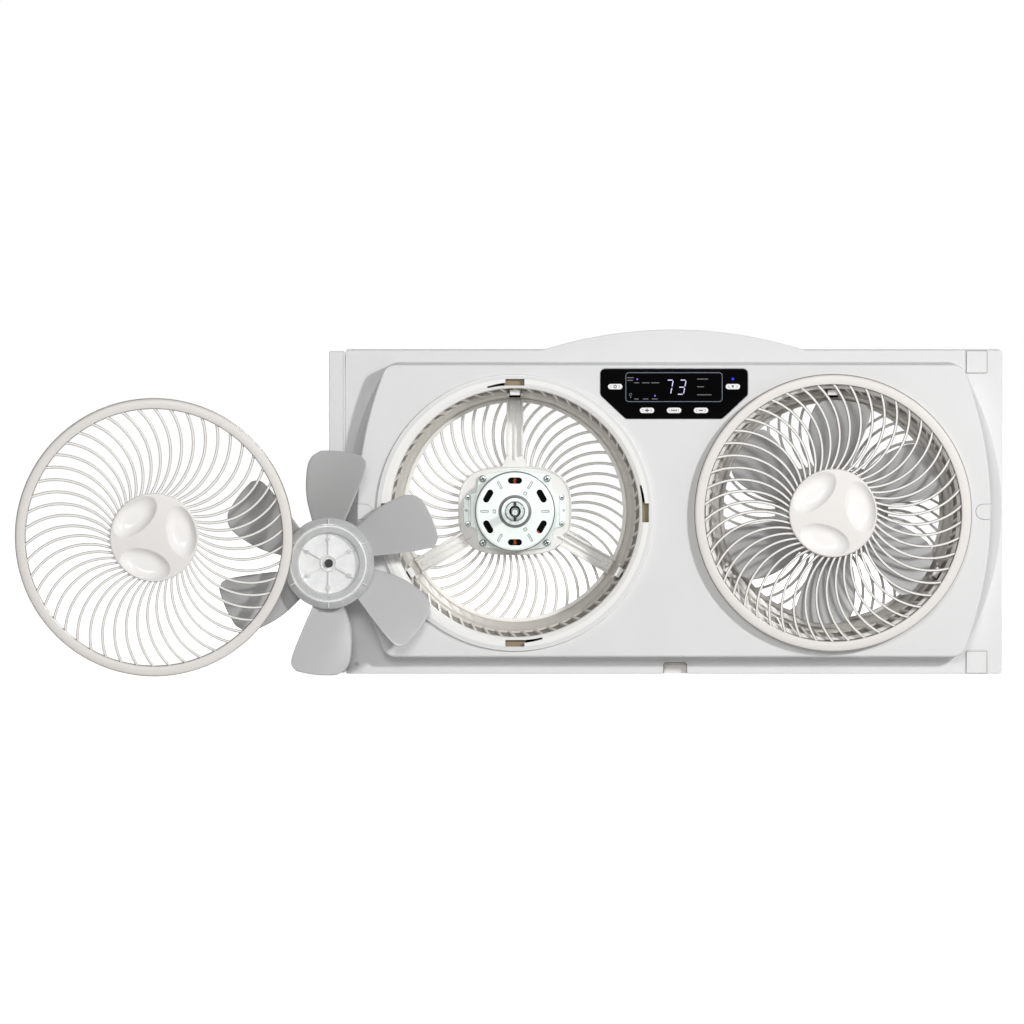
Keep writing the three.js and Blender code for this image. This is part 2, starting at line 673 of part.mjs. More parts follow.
function bayonetSlots() {
  const under = FACE_Z;
  const over = DUCT_FRONT_Z + OVER;
  const halfSlot = SLOT_W / 2 / SLOT_R / DEG;
  const x0 = SLOT_R - SLOT_DEPTH / 2;
  const x1 = SLOT_R + SLOT_DEPTH / 2;
  const slot = box(x0, x1, -SLOT_W / 2, SLOT_W / 2, under, over);
  const grooveIn = SLOT_R - GROOVE_DEPTH / 2;
  const groove = sector(grooveIn, grooveIn + GROOVE_DEPTH, 0, halfSlot + GROOVE_ARC,
    under, over, GROOVE_STEPS);
  return around(SLOT_COUNT, slot.add(groove));
}

// A hook at each slot: a stem through the groove and a foot behind the duct's ring.
function grilleLugs() {
  const half = LUG_W / 2 / SLOT_R / DEG;
  const footIn = SLOT_R - SLOT_DEPTH / 2 + LUG_GAP;
  const foot = sector(footIn, footIn + SLOT_DEPTH - 2 * LUG_GAP, -half, half, LUG_REAR_Z, LUG_TOP_Z);
  const stemIn = SLOT_R - GROOVE_DEPTH / 2 + LUG_GAP;
  const stemOut = SLOT_R + GROOVE_DEPTH / 2 - LUG_GAP;
  const stem = sector(stemIn, stemOut, -half, half, LUG_REAR_Z, GRILLE_REAR_Z + OVER);
  return around(SLOT_COUNT, foot.add(stem), LUG_TURN);
}

// Middle line of a bar: a circular arc between the disc and the ring, bulging sideways.
function barLine(innerR, outerR, lag, bulge, steps) {
  const from = new THREE.Vector2(innerR, 0);
  const angle = lag * DEG;
  const to = new THREE.Vector2(outerR * Math.cos(angle), -outerR * Math.sin(angle));
  const chord = to.clone().sub(from);
  const half = chord.length() / 2;
  const radius = (half * half + bulge * bulge) / (2 * bulge);
  const along = chord.clone().normalize();
  const side = new THREE.Vector2(along.y, -along.x);
  const middle = from.clone().add(to).multiplyScalar(0.5).addScaledVector(side, bulge - radius);
  const sweep = Math.asin(half / radius);
  const points = [];
  for (let i = 0; i <= steps; i += 1) {
    const t = -sweep + (2 * sweep * i) / steps;
    const point = middle.clone();
    point.addScaledVector(along, radius * Math.sin(t)).addScaledVector(side, radius * Math.cos(t));
    points.push(point);
  }
  return points;
}

// A bar along a line: flat behind, with a ridge along the middle of its front.
function bar(line, width, z0, z1) {
  const points = [];
  const faces = [];
  line.forEach((point, i) => {
    const before = line[Math.max(i - 1, 0)];
    const after = line[Math.min(i + 1, line.length - 1)];
    const along = after.clone().sub(before).setLength(width / 2);
    points.push([point.x - along.y, point.y + along.x, z0]);
    points.push([point.x + along.y, point.y - along.x, z0]);
    points.push([point.x, point.y, z1]);
    if (i === 0) return;
    const base = 3 * (i - 1);
    for (const [a, b] of [[0, 1], [1, 2], [2, 0]]) {
      faces.push([base + a, base + a + 3, base + b], [base + b, base + a + 3, base + b + 3]);
    }
  });
  const last = points.length - 3;
  faces.push([0, 1, 2], [last, last + 2, last + 1]);
  return meshed(points, faces);
}

function fingerDimples(top) {
  const dimple = new THREE.SphereGeometry(1, 8, 6);
  dimple.scale(DIMPLE_W / 2, DIMPLE_L / 2, DIMPLE_D);
  dimple.translate(DIMPLE_R, 0, top);
  return around(DIMPLE_COUNT, solidOf(dimple), DIMPLE_TURN);
}

function frontGrille() {
  const back = GRILLE_REAR_Z;
  const front = back + GRILLE_T;
  const inner = GRILLE_R - GRILLE_BAND;
  const rim = turned([
    [inner, back],
    [GRILLE_R, back],
    [GRILLE_R, front - GRILLE_CHAMFER],
    [GRILLE_R - GRILLE_CHAMFER, front],
    [inner, front],
  ], BAR_COUNT);
  const discBack = back + DISC_BACK;
  const discFront = discBack + DISC_T;
  const disc = turned([
    [0, discBack],
    [DISC_R, discBack],
    [DISC_R, discFront - DISC_EDGE_H],
    [DISC_R - DISC_EDGE_W, discFront - DISC_CROWN],
    [0, discFront],
  ], BAR_COUNT / 2);
  const line = barLine(DISC_R - BAR_ROOT, inner + BAR_ROOT, BAR_LAG, BAR_BULGE, BAR_STEPS);
  const oneBar = bar(line, BAR_W, back + BAR_BACK, back + BAR_BACK + BAR_T);
  const bars = around(BAR_COUNT, oneBar);
  return join(cut(disc, fingerDimples(discFront)), turn(rim, -BAR_LAG), bars, grilleLugs());
}

function rearGrille() {
  const z0 = BACK_Z + REAR_GRILLE_INSET;
  const z1 = z0 + REAR_GRILLE_T;
  const outer = DUCT_REAR_R - FIT;
  const inner = outer - REAR_GRILLE_BAND;
  const rim = ring(inner, outer, z0, z1, BAR_COUNT / 2);
  const disc = drum(REAR_DISC_R, z0, z1, BAR_COUNT / 2);
  const line = barLine(REAR_DISC_R - BAR_ROOT, inner + BAR_ROOT, REAR_BAR_LAG, REAR_BAR_BULGE, BAR_STEPS);
  const mirrored = line.map((point) => new THREE.Vector2(point.x, -point.y));
  const oneBar = bar(mirrored, REAR_BAR_W, z0 + REAR_BAR_IN, z1 - REAR_BAR_IN);
  return turn(join(turn(rim, REAR_BAR_LAG), disc, around(BAR_COUNT, oneBar)), REAR_BAR_TURN);
}

// ================= motor =================

const HALF_PITCH = 180 / CAN_SLOTS;
const signs = [[1, 1], [-1, 1], [-1, -1], [1, -1]];
const motorCorners = signs.map(([x, y]) => [x * SCREW_OFFSET, y * SCREW_OFFSET]);

function screwHoles(z0, z1) {
  return motorCorners.map(([x, y]) => drum(SCREW_R + SCREW_PLAY, z0, z1, HOLE_ROUND, x, y));
}

function motorMount() {
  const front = MOUNT_FRONT_Z;
  const back = front - MOUNT_T;
  const wings = plate(roundedBox(0, 0, MOUNT_WING_W, MOUNT_WING_H, MOUNT_FILLET), back, front);
  const ears = plate(roundedBox(0, 0, 2 * MOUNT_EAR_HALF, 2 * MOUNT_EAR_HALF, MOUNT_FILLET), back, front);
  const centre = drum(MOUNT_R, back, front, CAN_ROUND);
  const body = join(wings, ears, centre, around(ARM_COUNT, mountArm(back, front), 90));
  const hole = drum((CUP_R + FIT) / Math.cos(Math.PI / CAN_ROUND), back - OVER, front + OVER, CAN_ROUND);
  return body.subtract(join(hole, screwHoles(back - OVER, front + OVER)));
}

// A channel that runs out to the duct's wall.
function mountArm(back, front) {
  const half = ARM_W / 2;
  const wallR = ductInside(back) * Math.cos(Math.PI / ROUND) - FIT;
  const reach = Math.sqrt(wallR * wallR - half * half);
  const start = MOUNT_R - ARM_ROOT;
  const web = box(start, reach, -half, half, back, front);
  const rims = [[-half, -half + ARM_RIM], [half - ARM_RIM, half]].map(([y0, y1]) =>
    box(MOUNT_R + ARM_RIM_START, reach, y0, y1, front - OVER, front + ARM_RIM_H));
  return join(web, rims);
}

function motorFrontCover() {
  const inner = CAN_R - CAN_WALL;
  const seatR = BEARING_R + FIT;
  const can = turned([
    [seatR, CAN_FRONT_Z - BEARING_T],
    [seatR + SEAT_WALL, CAN_FRONT_Z - BEARING_T],
    [seatR + SEAT_WALL, CAN_FRONT_Z - CAN_WALL],
    [inner, CAN_FRONT_Z - CAN_WALL],
    [inner, CAN_REAR_Z],
    [CAN_R, CAN_REAR_Z],
    [CAN_R, CAN_FRONT_Z - CAN_EDGE],
    [CAN_R - CAN_EDGE, CAN_FRONT_Z],
    [BOSS_R, CAN_FRONT_Z],
    [BOSS_R, CAN_FRONT_Z + BOSS_RISE],
    [seatR, CAN_FRONT_Z + BOSS_RISE],
  ], CAN_ROUND);
  const earLine = roundedBox(0, 0, 2 * EAR_HALF, 2 * EAR_HALF, EAR_FILLET);
  const flange = plate(earLine, CAN_REAR_Z, CAN_REAR_Z + CAN_WALL);
  const ears = cut(flange, drum(inner, CAN_REAR_Z - OVER, CAN_REAR_Z + CAN_WALL + OVER, CAN_ROUND));
  const slotLine = pill(0, 0, CAN_SLOT_L, CAN_SLOT_W).map(([x, y]) => [y + CAN_R - CAN_SLOT_IN, x]).reverse();
  const slot = plate(slotLine, CAN_FRONT_Z - CAN_WALL - OVER, CAN_FRONT_Z + OVER);
  const holes = screwHoles(CAN_REAR_Z - OVER, CAN_REAR_Z + CAN_WALL + OVER);
  return join(can, ears).subtract(join(around(CAN_SLOTS, slot, HALF_PITCH), holes));
}

function motorRearCover() {
  const z1 = CAN_REAR_Z - FIT;
  const z0 = z1 - REAR_PLATE_T;
  const cupIn = CUP_R - CAN_WALL;
  const cupBack = z0 - CUP_D;
  const seatR = BEARING_R + FIT;
  const wings = plate(roundedBox(0, 0, WING_W, WING_H, EAR_FILLET), z0, z1);
  const ears = plate(roundedBox(0, 0, 2 * EAR_HALF, 2 * EAR_HALF, EAR_FILLET), z0, z1);
  const opening = drum(cupIn, z0 - OVER, z1 + OVER, CAN_ROUND);
  const cup = turned([
    [0, cupBack],
    [CUP_R, cupBack],
    [CUP_R, z1],
    [cupIn, z1],
    [cupIn, cupBack + CAN_WALL],
    [seatR + SEAT_WALL, cupBack + CAN_WALL],
    [seatR + SEAT_WALL, cupBack + CAN_WALL + BEARING_T],
    [seatR, cupBack + CAN_WALL + BEARING_T],
    [seatR, cupBack + CAN_WALL],
    [0, cupBack + CAN_WALL],
  ], CAN_ROUND);
  const flange = cut(join(wings, ears), opening, screwHoles(z0 - OVER, z1 + OVER));
  return flange.add(cup);
}

const rearBearingZ = CAN_REAR_Z - FIT - REAR_PLATE_T - CUP_D + CAN_WALL + FIT;

function bearing(z0) {
  return ring(SHAFT_R + SHAFT_RUN, BEARING_R, z0, z0 + BEARING_T, SMALL_ROUND);
}

function stator() {
  const core = ring(ROTOR_R + ROTOR_GAP, CAN_R - CAN_WALL - FIT, STATOR_REAR_Z, STATOR_FRONT_Z, CAN_ROUND);
  const leg = FIT + LEG_T / 2;
  const side = FIT + LEG_W / 2;
  const slot = box(WINDING_R - leg, WINDING_R + leg, -side, side,
    STATOR_REAR_Z - OVER, STATOR_FRONT_Z + OVER);
  return core.subtract(join(around(CAN_SLOTS, slot, HALF_PITCH)));
}

function winding() {
  const frontZ = STATOR_FRONT_Z + FIT;
  const rearZ = STATOR_REAR_Z - FIT;
  const front = ring(WINDING_IN_R, WINDING_OUT_R, frontZ, frontZ + WINDING_REACH, SMALL_ROUND);
  const rear = ring(WINDING_IN_R, CUP_R - CAN_WALL - 2 * FIT, rearZ - WINDING_REACH, rearZ, SMALL_ROUND);
  const leg = box(WINDING_R - LEG_T / 2, WINDING_R + LEG_T / 2, -LEG_W / 2, LEG_W / 2,
    rearZ - OVER, frontZ + OVER);
  return join(front, rear, around(CAN_SLOTS, leg, HALF_PITCH));
}

function rotor() {
  return ring(SHAFT_R + FIT, ROTOR_R, STATOR_REAR_Z + OVER, STATOR_FRONT_Z - OVER, SMALL_ROUND);
}

function shaft() {
  const body = drum(SHAFT_R, rearBearingZ, SHAFT_FRONT_Z, SMALL_ROUND);
  return body.subtract(crossPin(PIN_R + FIT, 3 * SHAFT_R));
}

function crossPin(radius, length) {
  const geometry = new THREE.CylinderGeometry(radius, radius, length, PIN_ROUND);
  geometry.translate(0, 0, PIN_Z);
  return solidOf(geometry);
}

function motorScrew() {
  const under = CAN_REAR_Z + CAN_WALL + FIT;
  const end = MOUNT_FRONT_Z - MOUNT_T;
  return turned([
    [0, end],
    [SCREW_R, end],
    [SCREW_R, under],
    [SCREW_HEAD_R, under],
    [SCREW_HEAD_R, under + SCREW_HEAD_T],
    [0, under + SCREW_HEAD_T],
  ], HOLE_ROUND);
}

// ================= impeller =================

function hub() {
  const shoulder = HUB_FRONT_Z - HUB_SHOULDER;
  const floor = HUB_FRONT_Z - RECESS_D;
  const bore = SHAFT_R + SHAFT_RUN;
  const boss = HUB_REAR_Z + HUB_BOSS_BACK;
  const body = turned([
    [bore, boss],
    [HUB_BOSS_R, boss],
    [HUB_BOSS_R - HUB_BOSS_DRAFT, floor - HUB_WALL],
    [HUB_R - HUB_WALL, floor - HUB_WALL],
    [HUB_R - HUB_WALL, HUB_REAR_Z],
    [HUB_R, HUB_REAR_Z],
    [HUB_R, shoulder],
    [HUB_R - HUB_SHOULDER, HUB_FRONT_Z],
    [RECESS_R, HUB_FRONT_Z],
    [RECESS_R, floor],
    [bore, floor],
  ], HUB_ROUND);
  const rib = box(bore + HUB_RIB_START, RECESS_R, -HUB_RIB_W / 2, HUB_RIB_W / 2,
    floor - OVER, floor + HUB_RIB_H);
  const slot = box(-PIN_R - FIT, PIN_R + FIT, -HUB_BOSS_R - OVER, HUB_BOSS_R + OVER,
    HUB_REAR_Z, PIN_Z + PIN_R + FIT);
  return join(body, around(BLADE_COUNT, rib, 180 / BLADE_COUNT)).subtract(slot);
}

// A thin twisted blade that stands up from the hub: its left edge is at the rear.
function blade() {
  const rootR = HUB_R - BLADE_ROOT_SINK;
  const rows = BLADE_EDGES.length;
  const columns = BLADE_COLUMNS + 1;
  const front = [];
  const back = [];
  for (const [share, left, right] of BLADE_EDGES) {
    const radius = rootR + (BLADE_TIP_R - rootR) * share;
    const slope = BLADE_SLOPE_ROOT + (BLADE_SLOPE_TIP - BLADE_SLOPE_ROOT) * share;
    for (let i = 0; i < columns; i += 1) {
      const x = BLADE_HALF_CHORD * (left + ((right - left) * i) / BLADE_COLUMNS);
      const y = Math.sqrt(radius * radius - x * x);
      const across = (x - BLADE_MID_X) / BLADE_HALF_CHORD;
      const z = BLADE_MID_Z + slope * (x - BLADE_MID_X) - BLADE_CAMBER * (1 - across * across);
      front.push([x, y, z + BLADE_T / 2]);
      back.push([x, y, z - BLADE_T / 2]);
    }
  }
  const size = rows * columns;
  const faces = [];
  const quad = (a, b, c, d) => faces.push([a, b, c], [a, c, d]);
  for (let r = 0; r + 1 < rows; r += 1) {
    for (let c = 0; c + 1 < columns; c += 1) {
      const a = r * columns + c;
      quad(a, a + 1, a + columns + 1, a + columns);
      quad(a + size, a + size + columns, a + size + columns + 1, a + size + 1);
    }
    const left = r * columns;
    const right = left + BLADE_COLUMNS;
    quad(left, left + columns, left + columns + size, left + size);
    quad(right, right + size, right + columns + size, right + columns);
  }
  for (let c = 0; c + 1 < columns; c += 1) {
    const top = (rows - 1) * columns + c;
    quad(c, c + size, c + size + 1, c + 1);
    quad(top, top + 1, top + size + 1, top + size);
  }
  return meshed([...front, ...back], faces);
}

function impeller() {
  return join(hub(), around(BLADE_COUNT, blade()));
}

// ================= controls =================

function controlBezel() {
  const z0 = FACE_Z - PANEL_SUNK + FIT;
  const z1 = z0 + PANEL_T;
  const window = plate(roundedBox(0, WINDOW_Y, WINDOW_W, WINDOW_H, WINDOW_FILLET), z0 - OVER, z1 + OVER);
  const holes = BUTTONS.map(([, x, y]) =>
    plate(pill(x, y, BUTTON_W + 2 * FIT, BUTTON_H + 2 * FIT), z0 - OVER, z1 + OVER));
  const led = drum(LED_R + FIT, z0 - OVER, z1 + OVER, SMALL_ROUND, LED_X, LED_Y);
  return plate(panelOutline(0), z0, z1).subtract(join(window, holes, led));
}

function displayWindow() {
  const z0 = FACE_Z - PANEL_SUNK + 2 * FIT;
  const line = roundedBox(0, WINDOW_Y, WINDOW_W - 2 * FIT, WINDOW_H - 2 * FIT, WINDOW_FILLET - FIT);
  return plate(line, z0, z0 + WINDOW_T);
}

function button(x, y) {
  const board = FACE_Z - BOARD_DROP;
  const under = FACE_Z - PANEL_SUNK - FIT;
  const stem = plate(pill(x, y, BUTTON_W, BUTTON_H), board + BUTTON_TRAVEL + FIT,
    FACE_Z - PANEL_SUNK + FIT + PANEL_T + BUTTON_PROUD);
  const skirt = plate(pill(x, y, BUTTON_W + 2 * BUTTON_SKIRT, BUTTON_H + 2 * BUTTON_SKIRT),
    under - BUTTON_SKIRT_T, under);
  return stem.add(skirt);
}

function statusLed() {
  const z1 = FACE_Z - PANEL_SUNK + 2 * FIT + PANEL_T;
  return drum(LED_R, FACE_Z - BOARD_DROP + FIT, z1, SMALL_ROUND, LED_X, LED_Y);
}

function displayModule() {
  const z0 = FACE_Z - BOARD_DROP + FIT;
  const z1 = FACE_Z - PANEL_SUNK + FIT;
  const x0 = DIGITS_X - DIGITS_W / 2;
  const y0 = WINDOW_Y - DIGITS_H / 2;
  return box(x0, x0 + DIGITS_W, y0, y0 + DIGITS_H, z0, z1);
}

function controlBoard() {
  const z1 = FACE_Z - BOARD_DROP;
  return plate(panelOutline(0), z1 - BOARD_T, z1);
}

// ================= latches, caps, side extender, inner parts =================

function latch(side) {
  const line = latchOutline(0, LATCH_OUT_X);
  return plate(side > 0 ? line : mirrorX(line), FACE_Z - LATCH_D, FACE_Z + FIT);
}

function cornerCap(y0) {
  const line = roundedBox(CAP_X, y0 + CAP_H / 2, CAP_W, CAP_H, CAP_FILLET);
  return plate(line, FLANGE_Z + FIT, FLANGE_Z + FIT + CAP_T);
}

function sideExtender() {
  const x1 = -HOUSING_W / 2 - FIT;
  const strip = box(x1 - STRIP_W, x1, STRIP_END, HOUSING_H - STRIP_END, FLANGE_Z - STRIP_D, FLANGE_Z);
  const rails = railSlots(0).map(([inner, y0, y1, z0, z1]) => box(x1 - OVER, inner, y0, y1, z0, z1));
  return join(strip, rails);
}

function powerBoardCorners() {
  const x = POWER_BOARD_W / 2 - 2 * POST_R;
  const y = POWER_BOARD_H / 2 - 2 * POST_R;
  return [[x, y], [-x, y], [-x, -y], [x, -y]].map(([dx, dy]) => [dx, POWER_BOARD_Y + dy]);
}

function powerBoard() {
  const z0 = BACK_Z + WALL + BOSS_H + FIT;
  const z1 = z0 + BOARD_T;
  const halfW = POWER_BOARD_W / 2;
  const halfH = POWER_BOARD_H / 2;
  const board = box(-halfW, halfW, POWER_BOARD_Y - halfH, POWER_BOARD_Y + halfH, z0, z1);
  const [w, h, d] = TRANSFORMER;
  const transformer = box(-w, 0, POWER_BOARD_Y - h / 2, POWER_BOARD_Y + h / 2, z1 - OVER, z1 + d);
  const [relayW, relayH, relayD] = RELAY;
  const relay = box(RELAY_X, RELAY_X + relayW, POWER_BOARD_Y - relayH / 2, POWER_BOARD_Y + relayH / 2,
    z1 - OVER, z1 + relayD);
  return join(board, transformer, relay);
}

function capacitor(side) {
  const [w, h, d] = CAPACITOR;
  const x = side * (HOUSING_W / 2 - WALL - CAPACITOR_GAP - w / 2);
  const y0 = WALL + FIT;
  const z0 = BACK_Z + WALL + FIT;
  return box(x - w / 2, x + w / 2, y0, y0 + h, z0, z0 + d);
}

// ================= assembly =================

const fan = new THREE.Group();
fan.rotation.x = Math.PI / 2;

function add(parent, name, solid, look) {
  const mesh = new THREE.Mesh(geometryOf(solid), new THREE.MeshStandardMaterial(look));
  mesh.name = name;
  parent.add(mesh);
  return mesh;
}

add(fan, 'rear_housing', rearHousing(), HOUSING_GREY);
add(fan, 'front_fascia', frontFascia(), HOUSING_GREY);
add(fan, 'control_bezel', controlBezel(), BLACK_GLOSS);
add(fan, 'display_window', displayWindow(), SMOKED);
add(fan, 'display_module', displayModule(), BLACK_PLASTIC);
add(fan, 'control_board', controlBoard(), BOARD_GREEN);
add(fan, 'status_led', statusLed(), BLUE_LIGHT);
for (const [name, x, y] of BUTTONS) add(fan, name, button(x, y), BUTTON_WHITE);
add(fan, 'left_latch', latch(-1), HOUSING_GREY);
add(fan, 'right_latch', latch(1), HOUSING_GREY);
add(fan, 'upper_corner_cap', cornerCap(HOUSING_H - FIT - CAP_H), HOUSING_GREY);
add(fan, 'lower_corner_cap', cornerCap(FIT), HOUSING_GREY);
add(fan, 'side_extender', sideExtender(), HOUSING_GREY);
add(fan, 'power_board', powerBoard(), BOARD_GREEN);

const shared = {
  duct: duct(),
  rear_grille: rearGrille(),
  motor_mount: motorMount(),
  motor_front_cover: motorFrontCover(),
  motor_rear_cover: motorRearCover(),
  stator: stator(),
  winding: winding(),
  front_bearing: bearing(CAN_FRONT_Z - BEARING_T),
  rear_bearing: bearing(rearBearingZ),
  rotor: rotor(),
  shaft: shaft(),
  drive_pin: crossPin(PIN_R, PIN_L),
};
const looks = {
  duct: WARM_WHITE,
  rear_grille: BAR_WHITE,
  motor_mount: WARM_WHITE,
  motor_front_cover: ZINC,
  motor_rear_cover: ZINC,
  stator: STEEL,
  winding: COPPER,
  front_bearing: STEEL,
  rear_bearing: STEEL,
  rotor: STEEL,
  shaft: STEEL,
  drive_pin: STEEL,
};
const screw = motorScrew();
const screwPlaces = ['upper_right', 'upper_left', 'lower_left', 'lower_right'];

for (const [side, sign] of [['left', -1], ['right', 1]]) {
  const place = new THREE.Group();
  place.position.set(sign * FAN_X, FAN_Y, 0);
  fan.add(place);
  for (const [piece, solid] of Object.entries(shared)) add(place, `${side}_${piece}`, solid, looks[piece]);
  motorCorners.forEach(([x, y], i) => {
    add(place, `${side}_motor_screw_${screwPlaces[i]}`, screw, STEEL).position.set(x, y, 0);
  });
  add(fan, `${side}_capacitor`, capacitor(sign), BLACK_PLASTIC);
}

const grille = frontGrille();
const blades = impeller();
add(fan, 'right_front_grille', grille, BAR_WHITE).position.set(FAN_X, FAN_Y, 0);
add(fan, 'right_impeller', blades, BLADE_GREY).position.set(FAN_X, FAN_Y, 0);
add(fan, 'left_front_grille', grille, BAR_WHITE)
  .position.set(LOOSE_GRILLE_X, GRILLE_R, LOOSE_GRILLE_Z - LUG_REAR_Z);
add(fan, 'left_impeller', blades, BLADE_GREY)
  .position.set(LOOSE_IMPELLER_X, BLADE_TIP_R, LOOSE_IMPELLER_Z - HUB_REAR_Z);

export default fan;
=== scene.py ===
"""Dresses the twin window fan's frame with its moulded, pressed and turned pieces and their finishes."""

import json
import math
from types import SimpleNamespace

import bmesh
import bpy
from bpy.props import FloatProperty, FloatVectorProperty, IntProperty, PointerProperty
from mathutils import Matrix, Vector
from mathutils.geometry import tessellate_polygon


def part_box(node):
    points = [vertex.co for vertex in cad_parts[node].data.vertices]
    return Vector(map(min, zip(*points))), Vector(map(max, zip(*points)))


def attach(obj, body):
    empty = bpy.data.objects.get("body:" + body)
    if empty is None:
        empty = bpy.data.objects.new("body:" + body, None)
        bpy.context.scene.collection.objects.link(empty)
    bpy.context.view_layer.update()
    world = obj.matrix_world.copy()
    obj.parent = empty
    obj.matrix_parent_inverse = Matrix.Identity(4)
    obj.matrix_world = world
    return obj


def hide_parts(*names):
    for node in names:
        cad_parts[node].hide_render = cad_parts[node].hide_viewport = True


bl_info = {
    "name": "Twin window fan",
    "version": (1, 0, 0),
    "blender": (4, 5, 0),
    "location": "3D View > Sidebar > Window fan",
    "description": "Builds the visible pieces of a twin window fan round its frame",
    "category": "Object",
}

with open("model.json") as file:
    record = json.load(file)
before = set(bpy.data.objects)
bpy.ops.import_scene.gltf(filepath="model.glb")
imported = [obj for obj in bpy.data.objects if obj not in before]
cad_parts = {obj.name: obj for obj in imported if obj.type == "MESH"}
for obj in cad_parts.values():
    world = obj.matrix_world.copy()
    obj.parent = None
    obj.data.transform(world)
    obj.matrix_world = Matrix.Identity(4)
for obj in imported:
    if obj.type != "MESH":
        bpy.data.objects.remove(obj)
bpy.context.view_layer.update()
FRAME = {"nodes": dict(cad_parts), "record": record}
RECORD = FRAME["record"]
BODY_OF = {node: body for body, nodes in RECORD["behaviour"]["bodies"].items() for node in nodes}
SLOT_OF = {row["node"]: row["material_slot"] for row in RECORD["subparts"]}

MM = 0.001
DEG = math.pi / 180
SIDES = ("left", "right")
FIT = 0.3                      # gap between two pieces that touch
BLOCK_CORNER = 0.4             # radius of a small block's corners
PRINT_BACK, PRINT_FRONT = 0.1, 0.05    # a print's depth in its face and its height over it
RAMP_ENDS = (0.3, 0.7)         # share of a noise at which each of its two tones is reached
WHITE = (1, 1, 1, 1)


# -------- places from the frame

def at(u, v, w):
    """A point of the front view (right, up, towards the room, in millimetres) in Blender's metres."""
    return Vector((u * MM, -w * MM, v * MM))


class Span:
    """A frame node's box in the front view's millimetres."""

    def __init__(self, node):
        low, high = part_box(node)
        self.left, self.right = low.x / MM, high.x / MM
        self.bottom, self.top = low.z / MM, high.z / MM
        self.back, self.front = -high.y / MM, -low.y / MM
        self.mid_u = (self.left + self.right) / 2
        self.mid_v = (self.bottom + self.top) / 2
        self.width = self.right - self.left
        self.height = self.top - self.bottom


HOUSING = Span("rear_housing")
FASCIA = Span("front_fascia")
BEZEL = Span("control_bezel")
GLASS = Span("display_window")
LATCH = Span("right_latch")
DUCT = Span("right_duct")
REAR_GRILLE = Span("right_rear_grille")
FRONT_GRILLE = Span("right_front_grille")
IMPELLER = Span("right_impeller")
MOUNT = Span("right_motor_mount")
CAN = Span("right_motor_front_cover")
REAR_COVER = Span("right_motor_rear_cover")
BEARING = Span("right_front_bearing")
SHAFT = Span("right_shaft")
PIN = Span("right_drive_pin")
SCREW = Span("right_motor_screw_upper_right")

FAN_U = DUCT.mid_u
FAN_V = DUCT.mid_v
SCREW_STEP = SCREW.mid_u - FAN_U
FAN_PLACES = {"left": (-FAN_U, FAN_V, 0), "right": (FAN_U, FAN_V, 0)}


def loose_place(node, assembled):
    """How far a piece that was taken off stands from the place it was drawn at."""
    loose = Span(node)
    return (loose.mid_u, loose.mid_v, loose.back - assembled.back)


GRILLE_PLACES = {"left": loose_place("left_front_grille", FRONT_GRILLE), "right": FAN_PLACES["right"]}
IMPELLER_PLACES = {"left": loose_place("left_impeller", IMPELLER), "right": FAN_PLACES["right"]}


# -------- settings

def length(name, millimetres, description):
    return FloatProperty(name=name, description=description, default=millimetres * MM, min=0,
                         precision=5, subtype="DISTANCE")


def count(name, default, description):
    return IntProperty(name=name, description=description, default=default, min=1)


def turn(name, degrees, description):
    return FloatProperty(name=name, description=description, default=degrees * DEG, subtype="ANGLE")


def linear(value):
    """One channel of a colour as a screen shows it, 0 to 255, as Blender's linear light."""
    share = value / 255
    return share / 12.92 if share <= 0.04045 else ((share + 0.055) / 1.055) ** 2.4


def colour(name, shown, description):
    return FloatVectorProperty(name=name, description=description, size=3, min=0, max=1,
                               default=tuple(linear(v) for v in shown), subtype="COLOR")


